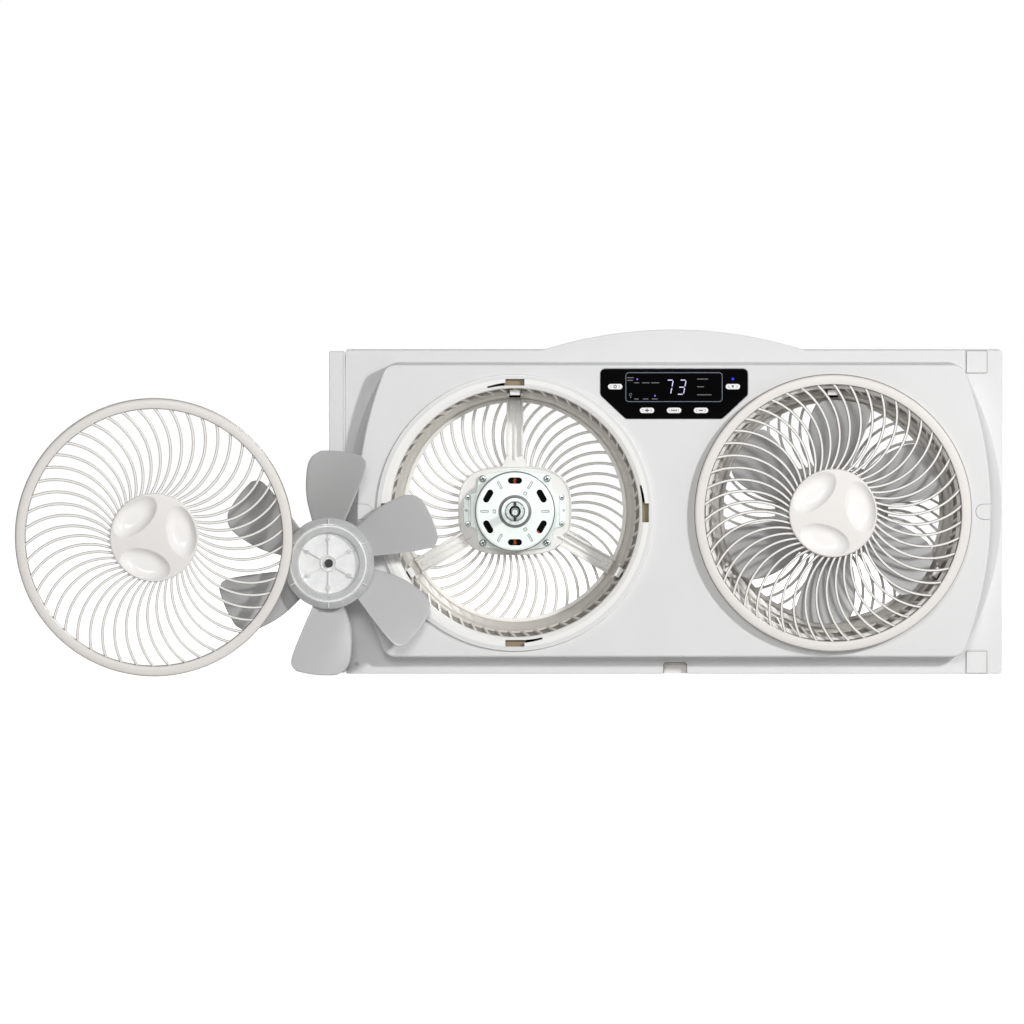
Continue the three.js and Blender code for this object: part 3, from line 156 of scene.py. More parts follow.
class WindowFanColours(bpy.types.PropertyGroup):
    """Colours of the finishes."""
    housing: colour("Housing", (226, 226, 226), "Rear housing and front fascia")
    ring: colour("Duct ring", (243, 242, 239), "Duct and its ring")
    # painted shade: a dark tone for the vents' deep faces
    vent: colour("Vents", (128, 123, 114), "Depth of the duct's slanted vents")
    # painted shade: a brown tone for the floor and walls of the wells behind the bayonet slots
    pocket_painted_shade: colour("Bayonet pockets", (150, 136, 112), "Floor of the bayonet slots")
    bar: colour("Grille bars", (244, 242, 238), "Front and rear grille")
    grille_ring: colour("Grille ring", (231, 227, 222), "Ring of the front grille")
    # painted shade: a darker tone for the bars' drafted sides, the grille ring's side walls, the caps'
    # sides and the cord channel's walls
    painted_side_shade: colour("Bar sides", (140, 134, 124), "Drafted sides of the grille bars")
    disc: colour("Grille disc", (237, 234, 230), "Disc in the middle of the front grille")
    # painted light: a lighter, glossier tone that paints a highlight in the disc's dimples and light on the
    # back of the cord channel
    painted_light_white: colour("Finger dimples", (245, 243, 240), "Polished dimples of the disc")
    # painted shade: a darker tone for the ducts' inner wall, where shade falls
    duct_inside_painted_shade: colour("Duct inside", (220, 215, 207), "Inner wall of the ducts")
    # a lighter tone for the hub's recess floor; on a ring near the rim and on the ribs it is a painted
    # highlight
    blade: colour("Blades", (190, 190, 190), "Impeller blades")
    hub: colour("Impeller hub", (190, 191, 191), "Milky hub of the impeller")
    hub_floor_and_highlight: colour("Hub recess", (240, 241, 240), "Clearer floor of the hub's recess")
    zinc: colour("Zinc", (224, 231, 228), "Zinc plating of the motor's covers")
    steel: colour("Steel", (168, 176, 174), "Bearings, shaft and rotor")
    copper: colour("Copper", (186, 92, 36), "Motor windings")
    panel: colour("Panel", (2, 2, 3), "Gloss black control panel")
    button: colour("Buttons", (240, 240, 240), "Buttons of the control panel")
    digits: colour("Digits", (205, 200, 232), "Lit digits")
    dots: colour("Dots", (140, 96, 236), "Lit dots beside the digits")
    lamp: colour("Lamp", (22, 36, 250), "Status lamp")
    board: colour("Boards", (30, 92, 54), "Circuit boards")
    black: colour("Black parts", (30, 30, 30), "Capacitors and display module")


class WindowFanHousing(bpy.types.PropertyGroup):
    """Sizes of the housing and the fascia."""
    wall: length("Wall", 2.6, "Thickness of the moulded walls")
    rim: length("Flange edge", 0.7, "Rounding of the flange's front edge")
    back_round: length("Back edge", 4, "Rounding of the housing's rear edge")
    corner: length("Corners", 3, "Radius of the housing's four corners")
    arch_chord: length("Arch width", 268, "Width of the arched top")
    arch_depth: length("Arch thickness", 10, "Thickness of the arched top")
    seat: length("Seat", 9, "Width of the flange that carries the fascia")
    notch_width: length("Notch width", 24.5, "Cord notch in the bottom edge")
    notch_height: length("Notch height", 11.7, "Height of the cord notch")
    notch_depth: length("Notch depth", 20, "Depth of the cord notch")
    side_lean: length("Side lean", 11, "How far the fascia's side walls lean out")
    level_lean: length("Level lean", 1.8, "How far the fascia's upper and lower walls lean out")
    face_bow: length("Face bow", 29.6, "How far the face's bowed sides fall back")
    foot_bow: length("Foot bow", 44.6, "How far the foot's bowed sides fall back")
    face_corner: length("Face corners", 14, "Radius of the face's corners")
    foot_corner: length("Foot corners", 18, "Radius of the foot's corners")
    edge_round: length("Face edge", 2.2, "Rounding of the face's edge")


class WindowFanDuct(bpy.types.PropertyGroup):
    """Sizes of the ducts."""
    mouth: length("Mouth", 127, "Radius of the duct's mouth")
    step: length("Step", 118.8, "Radius at the step")
    rear: length("Rear", 113.9, "Radius at the back")
    wall: length("Wall", 2.5, "Thickness of the duct's wall")
    bevel: length("Ring bevel", 4.2, "Width of the bevel inside the ring")
    vents: count("Vents", 58, "Slanted vents round the duct")
    vent_turn: turn("Vent slant", 2.8, "Turn of a vent from its back to its front end")
    vent_depth: length("Vent depth", 1.9, "Depth of the vents")
    slot_radius: length("Slot radius", 133, "Middle of the bayonet slots")
    slot_length: length("Slot length", 19.4, "Length of a bayonet slot")
    slot_width: length("Slot width", 6.8, "Width of a bayonet slot")


class WindowFanGrille(bpy.types.PropertyGroup):
    """Sizes of the front and rear grilles."""
    bars: count("Bars", 50, "Bars of each grille")
    bar_width: length("Bar width", 2.9, "Width of a front bar")
    bar_depth: length("Bar depth", 3, "Depth of a front bar")
    bar_back: length("Bar seat", 3.4, "From the ring's rear face to the bars")
    bar_lag: turn("Bar lag", -3.5, "Turn of a front bar from the disc to the ring")
    bar_bulge: length("Bar bulge", 15.5, "Sideways bulge of a front bar")
    band: length("Ring width", 11.3, "Width of the front grille's ring")
    height: length("Ring height", 9.7, "Height of the front grille's ring")
    disc: length("Disc radius", 45, "Radius of the front grille's disc")
    dimple_middle: length("Dimple centre", 28.4, "Distance of the dimples' middles")
    dimple_wide: length("Dimple half width", 14.8, "Half the width of a dimple")
    dimple_long: length("Dimple half length", 26, "Half the length of a dimple")
    dimple_depth: length("Dimple depth", 7, "Depth of the finger dimples")
    dimple_turn: turn("Dimple turn", 12, "Angle of the first dimple")
    rear_width: length("Rear bar width", 2.9, "Width of a rear bar")
    rear_lag: turn("Rear bar lag", -8.5, "Turn of a rear bar from the disc to the ring")
    rear_bulge: length("Rear bar bulge", 10, "Sideways bulge of a rear bar")
    rear_turn: turn("Rear bar start", -2.9, "Angle of the first rear bar at the disc")
    rear_disc: length("Rear disc", 46, "Radius of the rear grille's disc")


class WindowFanImpeller(bpy.types.PropertyGroup):
    """Sizes of the impellers."""
    blades: count("Blades", 6, "Blades of an impeller")
    hub: length("Hub radius", 46.5, "Radius of the hub")
    tip: length("Tip radius", 114.5, "Radius of the blades' tips")
    thickness: length("Blade thickness", 2, "Thickness of a blade")
    recess: length("Recess", 31, "Radius of the hub's recess")
    recess_depth: length("Recess depth", 6, "Depth of the hub's recess")
    bore: length("Bore", 4.35, "Radius of the bore")


class WindowFanMotor(bpy.types.PropertyGroup):
    """Sizes of the motors."""
    can: length("Can radius", 41, "Radius of the motor's can")
    sheet: length("Sheet", 1.6, "Thickness of the pressed covers")
    slots: count("Can slots", 6, "Cooling slots of the can")
    slot_length: length("Slot length", 14.4, "Length of a cooling slot")
    slot_width: length("Slot width", 6.4, "Width of a cooling slot")
    slot_radius: length("Slot radius", 31.5, "Middle of the cooling slots")
    boss: length("Boss", 16.9, "Radius of the bearing boss")
    arm: length("Arm width", 17, "Width of the mount's arms")


class WindowFanPanel(bpy.types.PropertyGroup):
    """Sizes of the control panel."""
    side: length("Side height", 26.6, "Height of the panel's upright sides")
    foot: length("Foot half width", 49, "Half the width of the panel's lower edge")
    corner: length("Corners", 5, "Radius of the panel's corners")
    ledge: length("Ledge", 3.5, "Width of the ledge that carries the panel")
    sunk: length("Recess", 1.2, "Depth of the recess for the panel")
    line: length("Window line", 0.7, "Width of the line round the window")
    digit_height: length("Digit height", 14.4, "Height of the lit digits")
    digit_width: length("Digit width", 6.4, "Width of the lit digits")
    segment: length("Segment", 0.98, "Width of a digit's segments")
    symbol: length("Symbol line", 1.1, "Width of the buttons' symbols")


class WindowFanStage(bpy.types.PropertyGroup):
    """Camera, lamps and floor."""
    lens: FloatProperty(name="Lens", description="Focal length", default=689.25, subtype="DISTANCE_CAMERA")
    distance: FloatProperty(name="Distance", description="From the camera to the point it aims at",
                            default=20, subtype="DISTANCE")
    elevation: turn("Elevation", 1.5, "Camera above the horizon")
    key: FloatProperty(name="Key lamp", description="Power of the key lamp", default=100, subtype="POWER")
    fill: FloatProperty(name="Fill lamp", description="Power of the fill lamp", default=60, subtype="POWER")
    rear: FloatProperty(name="Rear lamp", description="Power of the lamp behind the fan", default=70,
                        subtype="POWER")
    sky: FloatProperty(name="Sky", description="Strength of the light from all round", default=0.18)


def millimetres(group):
    """A settings group's lengths in millimetres, and its other values as they are."""
    values = {}
    for key, prop in group.bl_rna.properties.items():
        if key in {"rna_type", "name"}:
            continue
        value = getattr(group, key)
        values[key] = value / MM if prop.subtype == "DISTANCE" else value
    return SimpleNamespace(**values)


# -------- outlines

def circle(radius, facets=96, u=0.0, v=0.0):
    turns = [2 * math.pi * i / facets for i in range(facets)]
    return [(u + radius * math.cos(a), v + radius * math.sin(a)) for a in turns]


def arc(u, v, radius, start, end, steps):
    """Points of an arc between two angles in radians."""
    return [(u + radius * math.cos(start + (end - start) * i / steps),
             v + radius * math.sin(start + (end - start) * i / steps)) for i in range(steps + 1)]


def rounded(corners, steps=4, closed=True):
    """An outline of (x, y, radius) corners with each corner rounded."""
    points = []
    last = len(corners) - 1
    for i, (x, y, radius) in enumerate(corners):
        here = Vector((x, y))
        before = Vector(corners[i - 1][:2]) - here
        after = Vector(corners[(i + 1) % len(corners)][:2]) - here
        if radius <= 0 or (not closed and i in (0, last)):
            points.append((x, y))
            continue
        half = before.angle(after) / 2
        reach = min(radius / math.tan(half), 0.49 * before.length, 0.49 * after.length)
        radius = reach * math.tan(half)
        before.normalize()
        after.normalize()
        middle = here + (before + after).normalized() * (radius / math.sin(half))
        first = here + before * reach - middle
        end = here + after * reach - middle
        start = math.atan2(first.y, first.x)
        sweep = (math.atan2(end.y, end.x) - start + math.pi) % (2 * math.pi) - math.pi
        points += arc(middle.x, middle.y, radius, start, start + sweep, steps)
    return points


def rectangle(left, right, bottom, top, radius=0.0, steps=4):
    return rounded([(right, bottom, radius), (right, top, radius), (left, top, radius),
                    (left, bottom, radius)], steps)


def pill(u, v, wide, high, steps=10):
    """An outline with two round ends, level or upright."""
    radius = min(wide, high) / 2
    reach = max(wide, high) / 2 - radius
    loop = arc(reach, 0, radius, -math.pi / 2, math.pi / 2, steps)
    loop += arc(-reach, 0, radius, math.pi / 2, 3 * math.pi / 2, steps)
    return moved(loop, u, v, math.pi / 2 if high > wide else 0)


def inset(loop, distance):
    """A closed outline moved to its left, which is inwards where it runs anticlockwise."""
    moved = []
    size = len(loop)
    for i, (x, y) in enumerate(loop):
        before = (Vector((x, y)) - Vector(loop[i - 1]))
        after = (Vector(loop[(i + 1) % size]) - Vector((x, y)))
        if before.length < 1e-6:
            before = after
        if after.length < 1e-6:
            after = before
        before.normalize()
        after.normalize()
        side = Vector((-before.y - after.y, before.x + after.x)).normalized()
        stretch = max(0.4, side.dot(Vector((-before.y, before.x))))
        moved.append((x + side.x * distance / stretch, y + side.y * distance / stretch))
    return moved


def ring_at(loop, w):
    """An outline as a ring of points at one height."""
    return [(x, y, w) for x, y in loop]


def moved(loop, u, v, angle=0.0):
    """An outline turned about the origin and then shifted."""
    c, s = math.cos(angle), math.sin(angle)
    return [(u + x * c - y * s, v + x * s + y * c) for x, y in loop]


def lobes(parts, facets=240, sharpness=22, corner=9):
    """A smooth outline round boxes of half width, half height and turn, or discs, on one centre."""
    outline = []
    for i in range(facets):
        angle = 2 * math.pi * i / facets
        total = 0
        for half_w, half_h, tilt in parts:
            c, s = math.cos(angle - tilt), math.sin(angle - tilt)
            power = 2 if half_w == half_h and tilt < 0 else corner
            reach = (abs(c / half_w) ** power + abs(s / half_h) ** power) ** (-1 / power)
            total += reach ** sharpness
        radius = total ** (1 / sharpness)
        outline.append((radius * math.cos(angle), radius * math.sin(angle)))
    return outline


# -------- building a piece

class Shape:
    """Points and faces of one piece, drawn in millimetres in the front view."""

    def __init__(self):
        self.points = []
        self.faces = []
        self.tints = []

    def face(self, indices, tint=0):
        self.faces.append(list(indices))
        self.tints.append(tint)

    def skin(self, rings, tint=0, loop=False, cap=False):
        """Faces between rings of points, each ring joined to the next."""
        start = len(self.points)
        size = len(rings[0])
        for ring in rings:
            self.points += ring
        pairs = len(rings) if loop else len(rings) - 1
        tints = tint if isinstance(tint, (list, tuple)) else [tint] * pairs
        for i in range(pairs):
            a = start + i * size
            b = start + ((i + 1) % len(rings)) * size
            for j in range(size):
                k = (j + 1) % size
                self.face((a + j, a + k, b + k, b + j), tints[i])
        if cap:
            self.face(range(start + size - 1, start - 1, -1), tints[0])
            end = start + (len(rings) - 1) * size
            self.face(range(end, end + size), tints[-1])
        return self

    def flat(self, loops, w, tint=0):
        """A flat face at height w, bounded by outlines: the first outside, the others holes."""
        start = len(self.points)
        for loop in loops:
            self.points += ring_at(loop, w)
        for triangle in tessellate_polygon([[Vector(p) for p in ring_at(loop, 0)] for loop in loops]):
            self.face([start + i for i in triangle], tint)
        return self

    def plate(self, outline, back, front, rim=0.4, holes=(), tint=0, side_tint=None, steps=2, back_rim=0.0):
        """A plate with a rounded front edge, and holes whose edges are rounded as well."""
        side = tint if side_tint is None else side_tint
        faces = []
        for number, loop in enumerate([outline, *holes]):
            way = 1 if number == 0 else -1
            rings = []
            if back_rim:
                rings.append(ring_at(inset(loop, way * back_rim), back))
            rings.append(ring_at(loop, back + back_rim))
            for step in range(steps + 1 if rim else 1):
                angle = step / steps * math.pi / 2
                line = inset(loop, way * rim * (1 - math.cos(angle))) if rim else loop
                rings.append(ring_at(line, front - rim + rim * math.sin(angle)))
            self.skin(rings, side)
            faces.append((rings[0], rings[-1]))
        self.flat([[p[:2] for p in first] for first, _ in faces], back, tint)
        self.flat([[p[:2] for p in last] for _, last in faces], front, tint)
        return self

    def turned(self, profile, facets=96, closed=True, tint=0, u=0.0, v=0.0):
        """A profile of (radius, w) turned about the axis that faces the room."""
        rings = []
        for radius, w in profile:
            rings.append([(u + x, v + y, w) for x, y in circle(max(radius, 0), facets)])
        return self.skin(rings, tint, loop=closed)

    def block(self, left, right, bottom, top, back, front, rim):
        """A box with slightly rounded corners and a rounded front edge."""
        return self.plate(rectangle(left, right, bottom, top, BLOCK_CORNER, 3), back, front, rim)

    def copies(self, number, part, start=0.0):
        """Turned copies of another shape about the axis that faces the room."""
        for i in range(number):
            angle = start + i * (2 * math.pi / number)
            c, s = math.cos(angle), math.sin(angle)
            first = len(self.points)
            self.points += [(x * c - y * s, x * s + y * c, w) for x, y, w in part.points]
            for face, tint in zip(part.faces, part.tints):
                self.face([first + k for k in face], tint)
        return self

    def middle(self, face):
        """The mean of a face's points."""
        return [sum(self.points[i][k] for i in face) / len(face) for k in range(3)]

    def mesh(self, name, finishes, sharp=32.0):
        """The shape as a mesh with smooth faces and sharp creases; its tints pick from the finishes."""
        mesh = bpy.data.meshes.new(name)
        mesh.from_pydata([at(*p) for p in self.points], [], self.faces)
        mesh.polygons.foreach_set("material_index", self.tints)
        for finish in finishes:
            mesh.materials.append(FINISH[finish])
        tidy(mesh, sharp)
        return mesh


def creased(mesh, sharp):
    """Smooth faces, with creases where they meet at more than an angle in degrees."""
    mesh.polygons.foreach_set("use_smooth", [True] * len(mesh.polygons))
    mesh.set_sharp_from_angle(angle=sharp * DEG)


def tidy(mesh, sharp):
    """Joins points that meet, turns every face outwards and marks the creases."""
    work = bmesh.new()
    work.from_mesh(mesh)
    bmesh.ops.remove_doubles(work, verts=work.verts, dist=2e-6)
    bmesh.ops.dissolve_degenerate(work, dist=1e-6, edges=work.edges)
    loose = [v for v in work.verts if not v.link_faces]
    bmesh.ops.delete(work, geom=loose, context="VERTS")
    bmesh.ops.recalc_face_normals(work, faces=work.faces)
    work.to_mesh(mesh)
    work.free()
    creased(mesh, sharp)
    mesh.update()


def merged(mesh, other, sharp):
    """Two meshes with the same finishes as one."""
    work = bmesh.new()
    work.from_mesh(mesh)
    work.from_mesh(other)
    work.to_mesh(mesh)
    work.free()
    creased(mesh, sharp)
    return mesh


def show(name, mesh, place=(0, 0, 0), weighted=True):
    """A mesh as an object of the scene."""
    piece = bpy.data.objects.new(name, mesh)
    piece.location = at(*place)
    bpy.context.scene.collection.objects.link(piece)
    if weighted:
        normals = piece.modifiers.new("Normals by face area", "WEIGHTED_NORMAL")
        normals.keep_sharp = True
    return piece


def stand_for(piece, node):
    """The piece is shown in a frame node's place, with that node's body."""
    go_with(piece, node)
    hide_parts(node)


def go_with(piece, node, slot=None):
    """The piece rides on the body that carries a frame node."""
    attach(piece, BODY_OF[node])
    slot or SLOT_OF[node]


def add_detail(name, shape, finishes, node, slot=None, sharp=32.0):
    """A shape as an extra piece on the body that carries a frame node."""
    go_with(show(name, shape.mesh(name, finishes, sharp)), node, slot)


def carve(mesh, cutter, sharp=32.0):
    """The mesh less the cutter's shape, with its creases marked again."""
    base = bpy.data.objects.new("carved", mesh)
    tool = bpy.data.objects.new("cutter", cutter)
    for item in (base, tool):
        bpy.context.scene.collection.objects.link(item)
    cut = base.modifiers.new("Cut", "BOOLEAN")
    cut.object = tool
    cut.solver = "EXACT"
    cut.use_self = True
    cut.operation = "DIFFERENCE"
    bpy.context.view_layer.update()
    result = bpy.data.meshes.new_from_object(base.evaluated_get(bpy.context.evaluated_depsgraph_get()))
    result.name = mesh.name
    bpy.data.objects.remove(base)
    bpy.data.objects.remove(tool)
    if not result.polygons:
        raise RuntimeError(f"{mesh.name}: nothing is left after the cut")
    tidy(result, sharp)
    return result


def ridge(shape, outline, base, section, tints=0):
    """A ridge along an outline, from the (distance inwards, height) points of its section."""
    rings = [ring_at(inset(outline, distance) if distance else outline, base + height)
             for distance, height in section]
    return shape.skin(rings, tints, loop=True)


def printed(shape, outline, face, holes=(), front=PRINT_FRONT):
    """A print that stands a little proud of its face."""
    shape.plate(outline, face - PRINT_BACK, face + front, 0, holes=holes)


# -------- finishes

def settle(node, **inputs):
    """Sets some inputs of a node; an underscore in a name stands for a space."""
    for name, value in inputs.items():
        node.inputs[name.replace("_", " ")].default_value = value
    return node


def fresh(tree, kind, **inputs):
    return settle(tree.nodes.new("ShaderNode" + kind), **inputs)


def emptied(owner):
    """The node tree of a material or a world, without its first nodes."""
    owner.use_nodes = True
    owner.node_tree.nodes.clear()
    return owner.node_tree


def tree_of(name):
    material = bpy.data.materials.new(name)
    tree = emptied(material)
    output = fresh(tree, "OutputMaterial")
    shader = fresh(tree, "BsdfPrincipled")
    tree.links.new(shader.outputs["BSDF"], output.inputs["Surface"])
    return material, tree, shader


def noise(tree, scale, detail=3.0, stretch=(1, 1, 1), rough=0.5):
    """A noise in the piece's own coordinates."""
    place = fresh(tree, "TexCoord")
    mapping = fresh(tree, "Mapping", Scale=stretch)
    texture = fresh(tree, "TexNoise", Scale=scale, Detail=detail, Roughness=rough)
    tree.links.new(place.outputs["Object"], mapping.inputs["Vector"])
    tree.links.new(mapping.outputs["Vector"], texture.inputs["Vector"])
    return texture.outputs["Fac"]


def toned(tree, shader, factor, tone, dark, bright, socket="Base Color"):
    """The factor takes the shader's colour from a darker to a brighter shade of a tone."""
    ramp = fresh(tree, "ValToRGB")
    for element, position, amount in zip(ramp.color_ramp.elements, RAMP_ENDS, (dark, bright)):
        element.position = position
        element.color = (*shaded(tone, amount), 1)
    tree.links.new(factor, ramp.inputs["Fac"])
    tree.links.new(ramp.outputs["Color"], shader.inputs[socket])


def roughened(tree, shader, factor, low, high):
    """The factor takes the shader's roughness from low to high."""
    node = fresh(tree, "MapRange", To_Min=low, To_Max=high)
    tree.links.new(factor, node.inputs["Value"])
    tree.links.new(node.outputs["Result"], shader.inputs["Roughness"])


def bumped(tree, shader, factor, strength, distance):
    """The factor as a relief of the surface."""
    node = fresh(tree, "Bump", Strength=strength, Distance=distance)
    tree.links.new(factor, node.inputs["Height"])
    tree.links.new(node.outputs["Normal"], shader.inputs["Normal"])


def shaded(tone, amount):
    return tuple(min(1, channel * amount) for channel in tone)


def moulded(name, tone, roughness=0.45, grain=1400.0, mottle=0.015, specular=0.4):
    """Moulded plastic: a fine eroded grain, slight mottling and uneven gloss."""
    material, tree, shader = tree_of(name)
    broad = noise(tree, 14, 4)
    toned(tree, shader, broad, tone, 1 - mottle, 1 + mottle)
    fine = noise(tree, grain, 2)
    roughened(tree, shader, fine, roughness - 0.05, roughness + 0.07)
    settle(shader, Specular_IOR_Level=specular)
    bumped(tree, shader, fine, 0.35, 0.000015)
    return material


def metal(name, tone, roughness, grain, stretch=(1, 1, 1), metallic=1.0, mottle=0.06):
    """Rolled, plated or turned metal: streaks or spangle in the colour, the gloss and the surface."""
    material, tree, shader = tree_of(name)
    spangle = noise(tree, grain, 5, stretch, 0.62)
    toned(tree, shader, spangle, tone, 1 - mottle, 1 + mottle)
    roughened(tree, shader, spangle, roughness - 0.08, roughness + 0.1)
    settle(shader, Metallic=metallic)
    bumped(tree, shader, spangle, 0.3, 0.00002)
    return material


def wound(name, tone):
    """Enamelled copper wire: fine parallel turns."""
    material, tree, shader = tree_of(name)
    place = fresh(tree, "TexCoord")
    wave = fresh(tree, "TexWave", Scale=420, Distortion=1.5)
    wave.wave_type = "RINGS"
    wave.rings_direction = "Y"
    tree.links.new(place.outputs["Object"], wave.inputs["Vector"])
    toned(tree, shader, wave.outputs["Fac"], tone, 0.45, 1.25)
    settle(shader, Metallic=0.85, Roughness=0.35)
    bumped(tree, shader, wave.outputs["Fac"], 0.8, 0.0002)
    return material


def glossy_black(name, tone, roughness=0.09):
    """Polished acrylic with faint dust and finger marks in its gloss."""
    material, tree, shader = tree_of(name)
    smear = noise(tree, 40, 6, (1, 1, 2.2), 0.65)
    toned(tree, shader, smear, tone, 0.9, 1.4)
    roughened(tree, shader, smear, roughness, roughness + 0.12)
    settle(shader, Specular_IOR_Level=0.025)
    return material


def lit(name, tone, strength):
    """A lit segment or lamp, slightly brighter in its middle."""
    material, tree, shader = tree_of(name)
    glow = noise(tree, 220, 2)
    settle(shader, Base_Color=(*shaded(tone, 0.2), 1), Emission_Strength=strength, Roughness=0.3)
    toned(tree, shader, glow, tone, 0.92, 1.06, "Emission Color")
    return material


def milky(name, tone):
    """Milky moulded plastic that lets some light through."""
    material, tree, shader = tree_of(name)
    cloud = noise(tree, 60, 6, (1, 1, 1), 0.7)
    toned(tree, shader, cloud, tone, 0.88, 1.06)
    roughened(tree, shader, cloud, 0.1, 0.22)
    settle(shader, Subsurface_Weight=0.35, Subsurface_Radius=(0.006, 0.006, 0.006), Subsurface_Scale=1,
           Coat_Weight=0.8, Coat_Roughness=0.1)
    bumped(tree, shader, noise(tree, 900, 2), 0.2, 0.00002)
    return material


class Finishes:
    """The object's finishes, made once from the colour settings."""

    def __init__(self):
        self.made = {}

    def __getitem__(self, name):
        if name not in self.made:
            self.made[name] = self.make(name, bpy.context.scene.window_fan_colours)
        return self.made[name]

    @staticmethod
    def make(name, tones):
        recipes = {
            "housing": lambda: moulded("housing_plastic", tones.housing, 0.5),
            "ring": lambda: moulded("ring_plastic", tones.ring, 0.4, 1100, mottle=0.01),
            "vent": lambda: moulded("vent_shade", tones.vent, 0.6),
            "pocket_painted_shade": lambda: moulded("pocket_shade", tones.pocket_painted_shade, 0.6),
            "bar": lambda: moulded("bar_plastic", tones.bar, 0.35, 1300, mottle=0.01, specular=0.5),
            "grille_ring": lambda: moulded("grille_ring_plastic", tones.grille_ring, 0.38, 1300,
                                           mottle=0.01),
            "painted_side_shade": lambda: moulded("painted_side_shade_plastic", tones.painted_side_shade, 0.45),
            "disc": lambda: moulded("disc_plastic", tones.disc, 0.32, 1300, mottle=0.01),
            "painted_light_white": lambda: moulded("painted_light_plastic", tones.painted_light_white, 0.2, 1300, mottle=0.01, specular=0.5),
            "duct_inside_painted_shade": lambda: moulded("duct_inside_painted_shade_plastic", tones.duct_inside_painted_shade, 0.42, 1100,
                                           mottle=0.02),
            "blade": lambda: moulded("blade_plastic", tones.blade, 0.34, 1500, mottle=0.01,
                                     specular=0.35),
            "hub": lambda: milky("hub_plastic", tones.hub),
            "hub_floor_and_highlight": lambda: milky("hub_floor_and_highlight_plastic", tones.hub_floor_and_highlight),
            "zinc": lambda: metal("zinc_plate", tones.zinc, 0.45, 320, metallic=0.3, mottle=0.04),
            # painted shade: zinc darkened for the covers' rounded edges, sloped sides, slot walls and
            # stamped lines and for the screws' rims
            "zinc_painted_shade": lambda: metal("zinc_painted_shade", shaded(tones.zinc, 0.2), 0.4, 300, metallic=0.3),
            "steel": lambda: metal("turned_steel", tones.steel, 0.3, 500, (1, 6, 1)),
            "dark_steel": lambda: metal("dark_steel", shaded(tones.steel, 0.06), 0.45, 500, (1, 6, 1),
                                        metallic=0.2),
            "copper": lambda: wound("enamelled_copper", tones.copper),
            "panel": lambda: glossy_black("panel_gloss", tones.panel),
            "glass": lambda: glossy_black("smoked_window", tones.panel, 0.04),
            "line": lambda: moulded("printed_line", (0.13, 0.15, 0.19), 0.5),
            "label": lambda: moulded("printed_label", (0.12, 0.12, 0.13), 0.5),
            "symbol": lambda: moulded("printed_symbol", (0.03, 0.03, 0.035), 0.5),
            "button": lambda: moulded("button_plastic", tones.button, 0.38, 1500),
            "digits": lambda: lit("lit_digits", tones.digits, 1.0),
            "dots": lambda: lit("lit_dots", tones.dots, 1.2),
            "lamp": lambda: lit("status_lamp", tones.lamp, 1.3),
            "board": lambda: moulded("solder_mask", tones.board, 0.35, 300, mottle=0.12),
            "black": lambda: moulded("black_plastic", tones.black, 0.5),
            # painted shade: near black that stands for deep gaps and shadowed depths
            "painted_deep_shade": lambda: moulded("deep_shade", (0.004, 0.004, 0.004), 0.8, specular=0.05),
        }
        return recipes[name]()


FINISH = Finishes()


def dress(node, name):
    """A frame node that stays in view takes a finish."""
    piece = FRAME["nodes"][node]
    piece.data.materials.clear()
    piece.data.materials.append(FINISH[name])
    creased(piece.data, 30)


# -------- housing and fascia

ARCH_STEPS = 48
BOW_STEPS = 36
CORNER_STEPS = 10
EDGE_STEPS = 4
ROUND = 144
FLAT_TOP = 330.0               # height of the housing beside its arch
NOTCH_MIDDLE = 1.5             # the cord notch stands a little right of the middle
FLANGE_SHEET = 3.0
REAR_FRAME = 12.0              # width of the frame round the sunk rear panel
REAR_SUNK = 1.1                # how far that panel is sunk
REAR_LIP = 8.0                 # width of the raised lip round a rear opening
LIP_EDGE = 0.6
FASCIA_ROWS = 12
FASCIA_CURVE = 2.1             # how strongly the fascia's walls curve from foot to face
INSIDE_ROWS = 5
LATCH_BODY, LATCH_TRAVEL = 6.8, 2.5
STRIP_WIDTH = 16.1
ARM_LEVELS = ((6, 18), (312, 324))     # lower and upper edge of each extender arm
ARM_BACK, ARM_FRONT = 12, 6            # behind the strip's front
RIB_WIDTH = 3.2
RIB_BACK, RIB_FRONT = 0.3, 1.6         # from the housing's back
MIDDLE_RIBS = (-12, 0, 12)
SIDE_RIB = (303, 26)                   # middle and length of the short ribs at the sides
SIDE_RIB_LEVELS = (131, 148, 165, 182, 199)
SCREW_SPOTS = [(x, y) for x in (-318, 0, 318) for y in (17, 313)]
PLUG_SPOT = (-323.6, 9.9)


def housing_line(sizes, lift=1.0, shrink=0.0):
    """The housing's outline with its arched top; lift 0 leaves the top straight."""
    left, right = HOUSING.left + shrink, HOUSING.right - shrink
    low, high = shrink, FLAT_TOP - shrink
    half = sizes.arch_chord / 2
    rise = HOUSING.top - FLAT_TOP
    radius = (half * half + rise * rise) / (2 * rise)
    lean = math.asin(half / radius)
    corner = max(sizes.corner - shrink, 0.3)
    line = arc(right - corner, low + corner, corner, -math.pi / 2, 0, CORNER_STEPS)
    line += arc(right - corner, high - corner, corner, 0, math.pi / 2, CORNER_STEPS)
    for x, y in arc(0, HOUSING.top - radius, radius, math.pi / 2 - lean, math.pi / 2 + lean, ARCH_STEPS):
        rise_here = max(y - FLAT_TOP, 0)
        line.append((x, high + rise_here * lift))
    line += arc(left + corner, high - corner, corner, math.pi / 2, math.pi, CORNER_STEPS)
    line += arc(left + corner, low + corner, corner, math.pi, 3 * math.pi / 2, CORNER_STEPS)
    return line


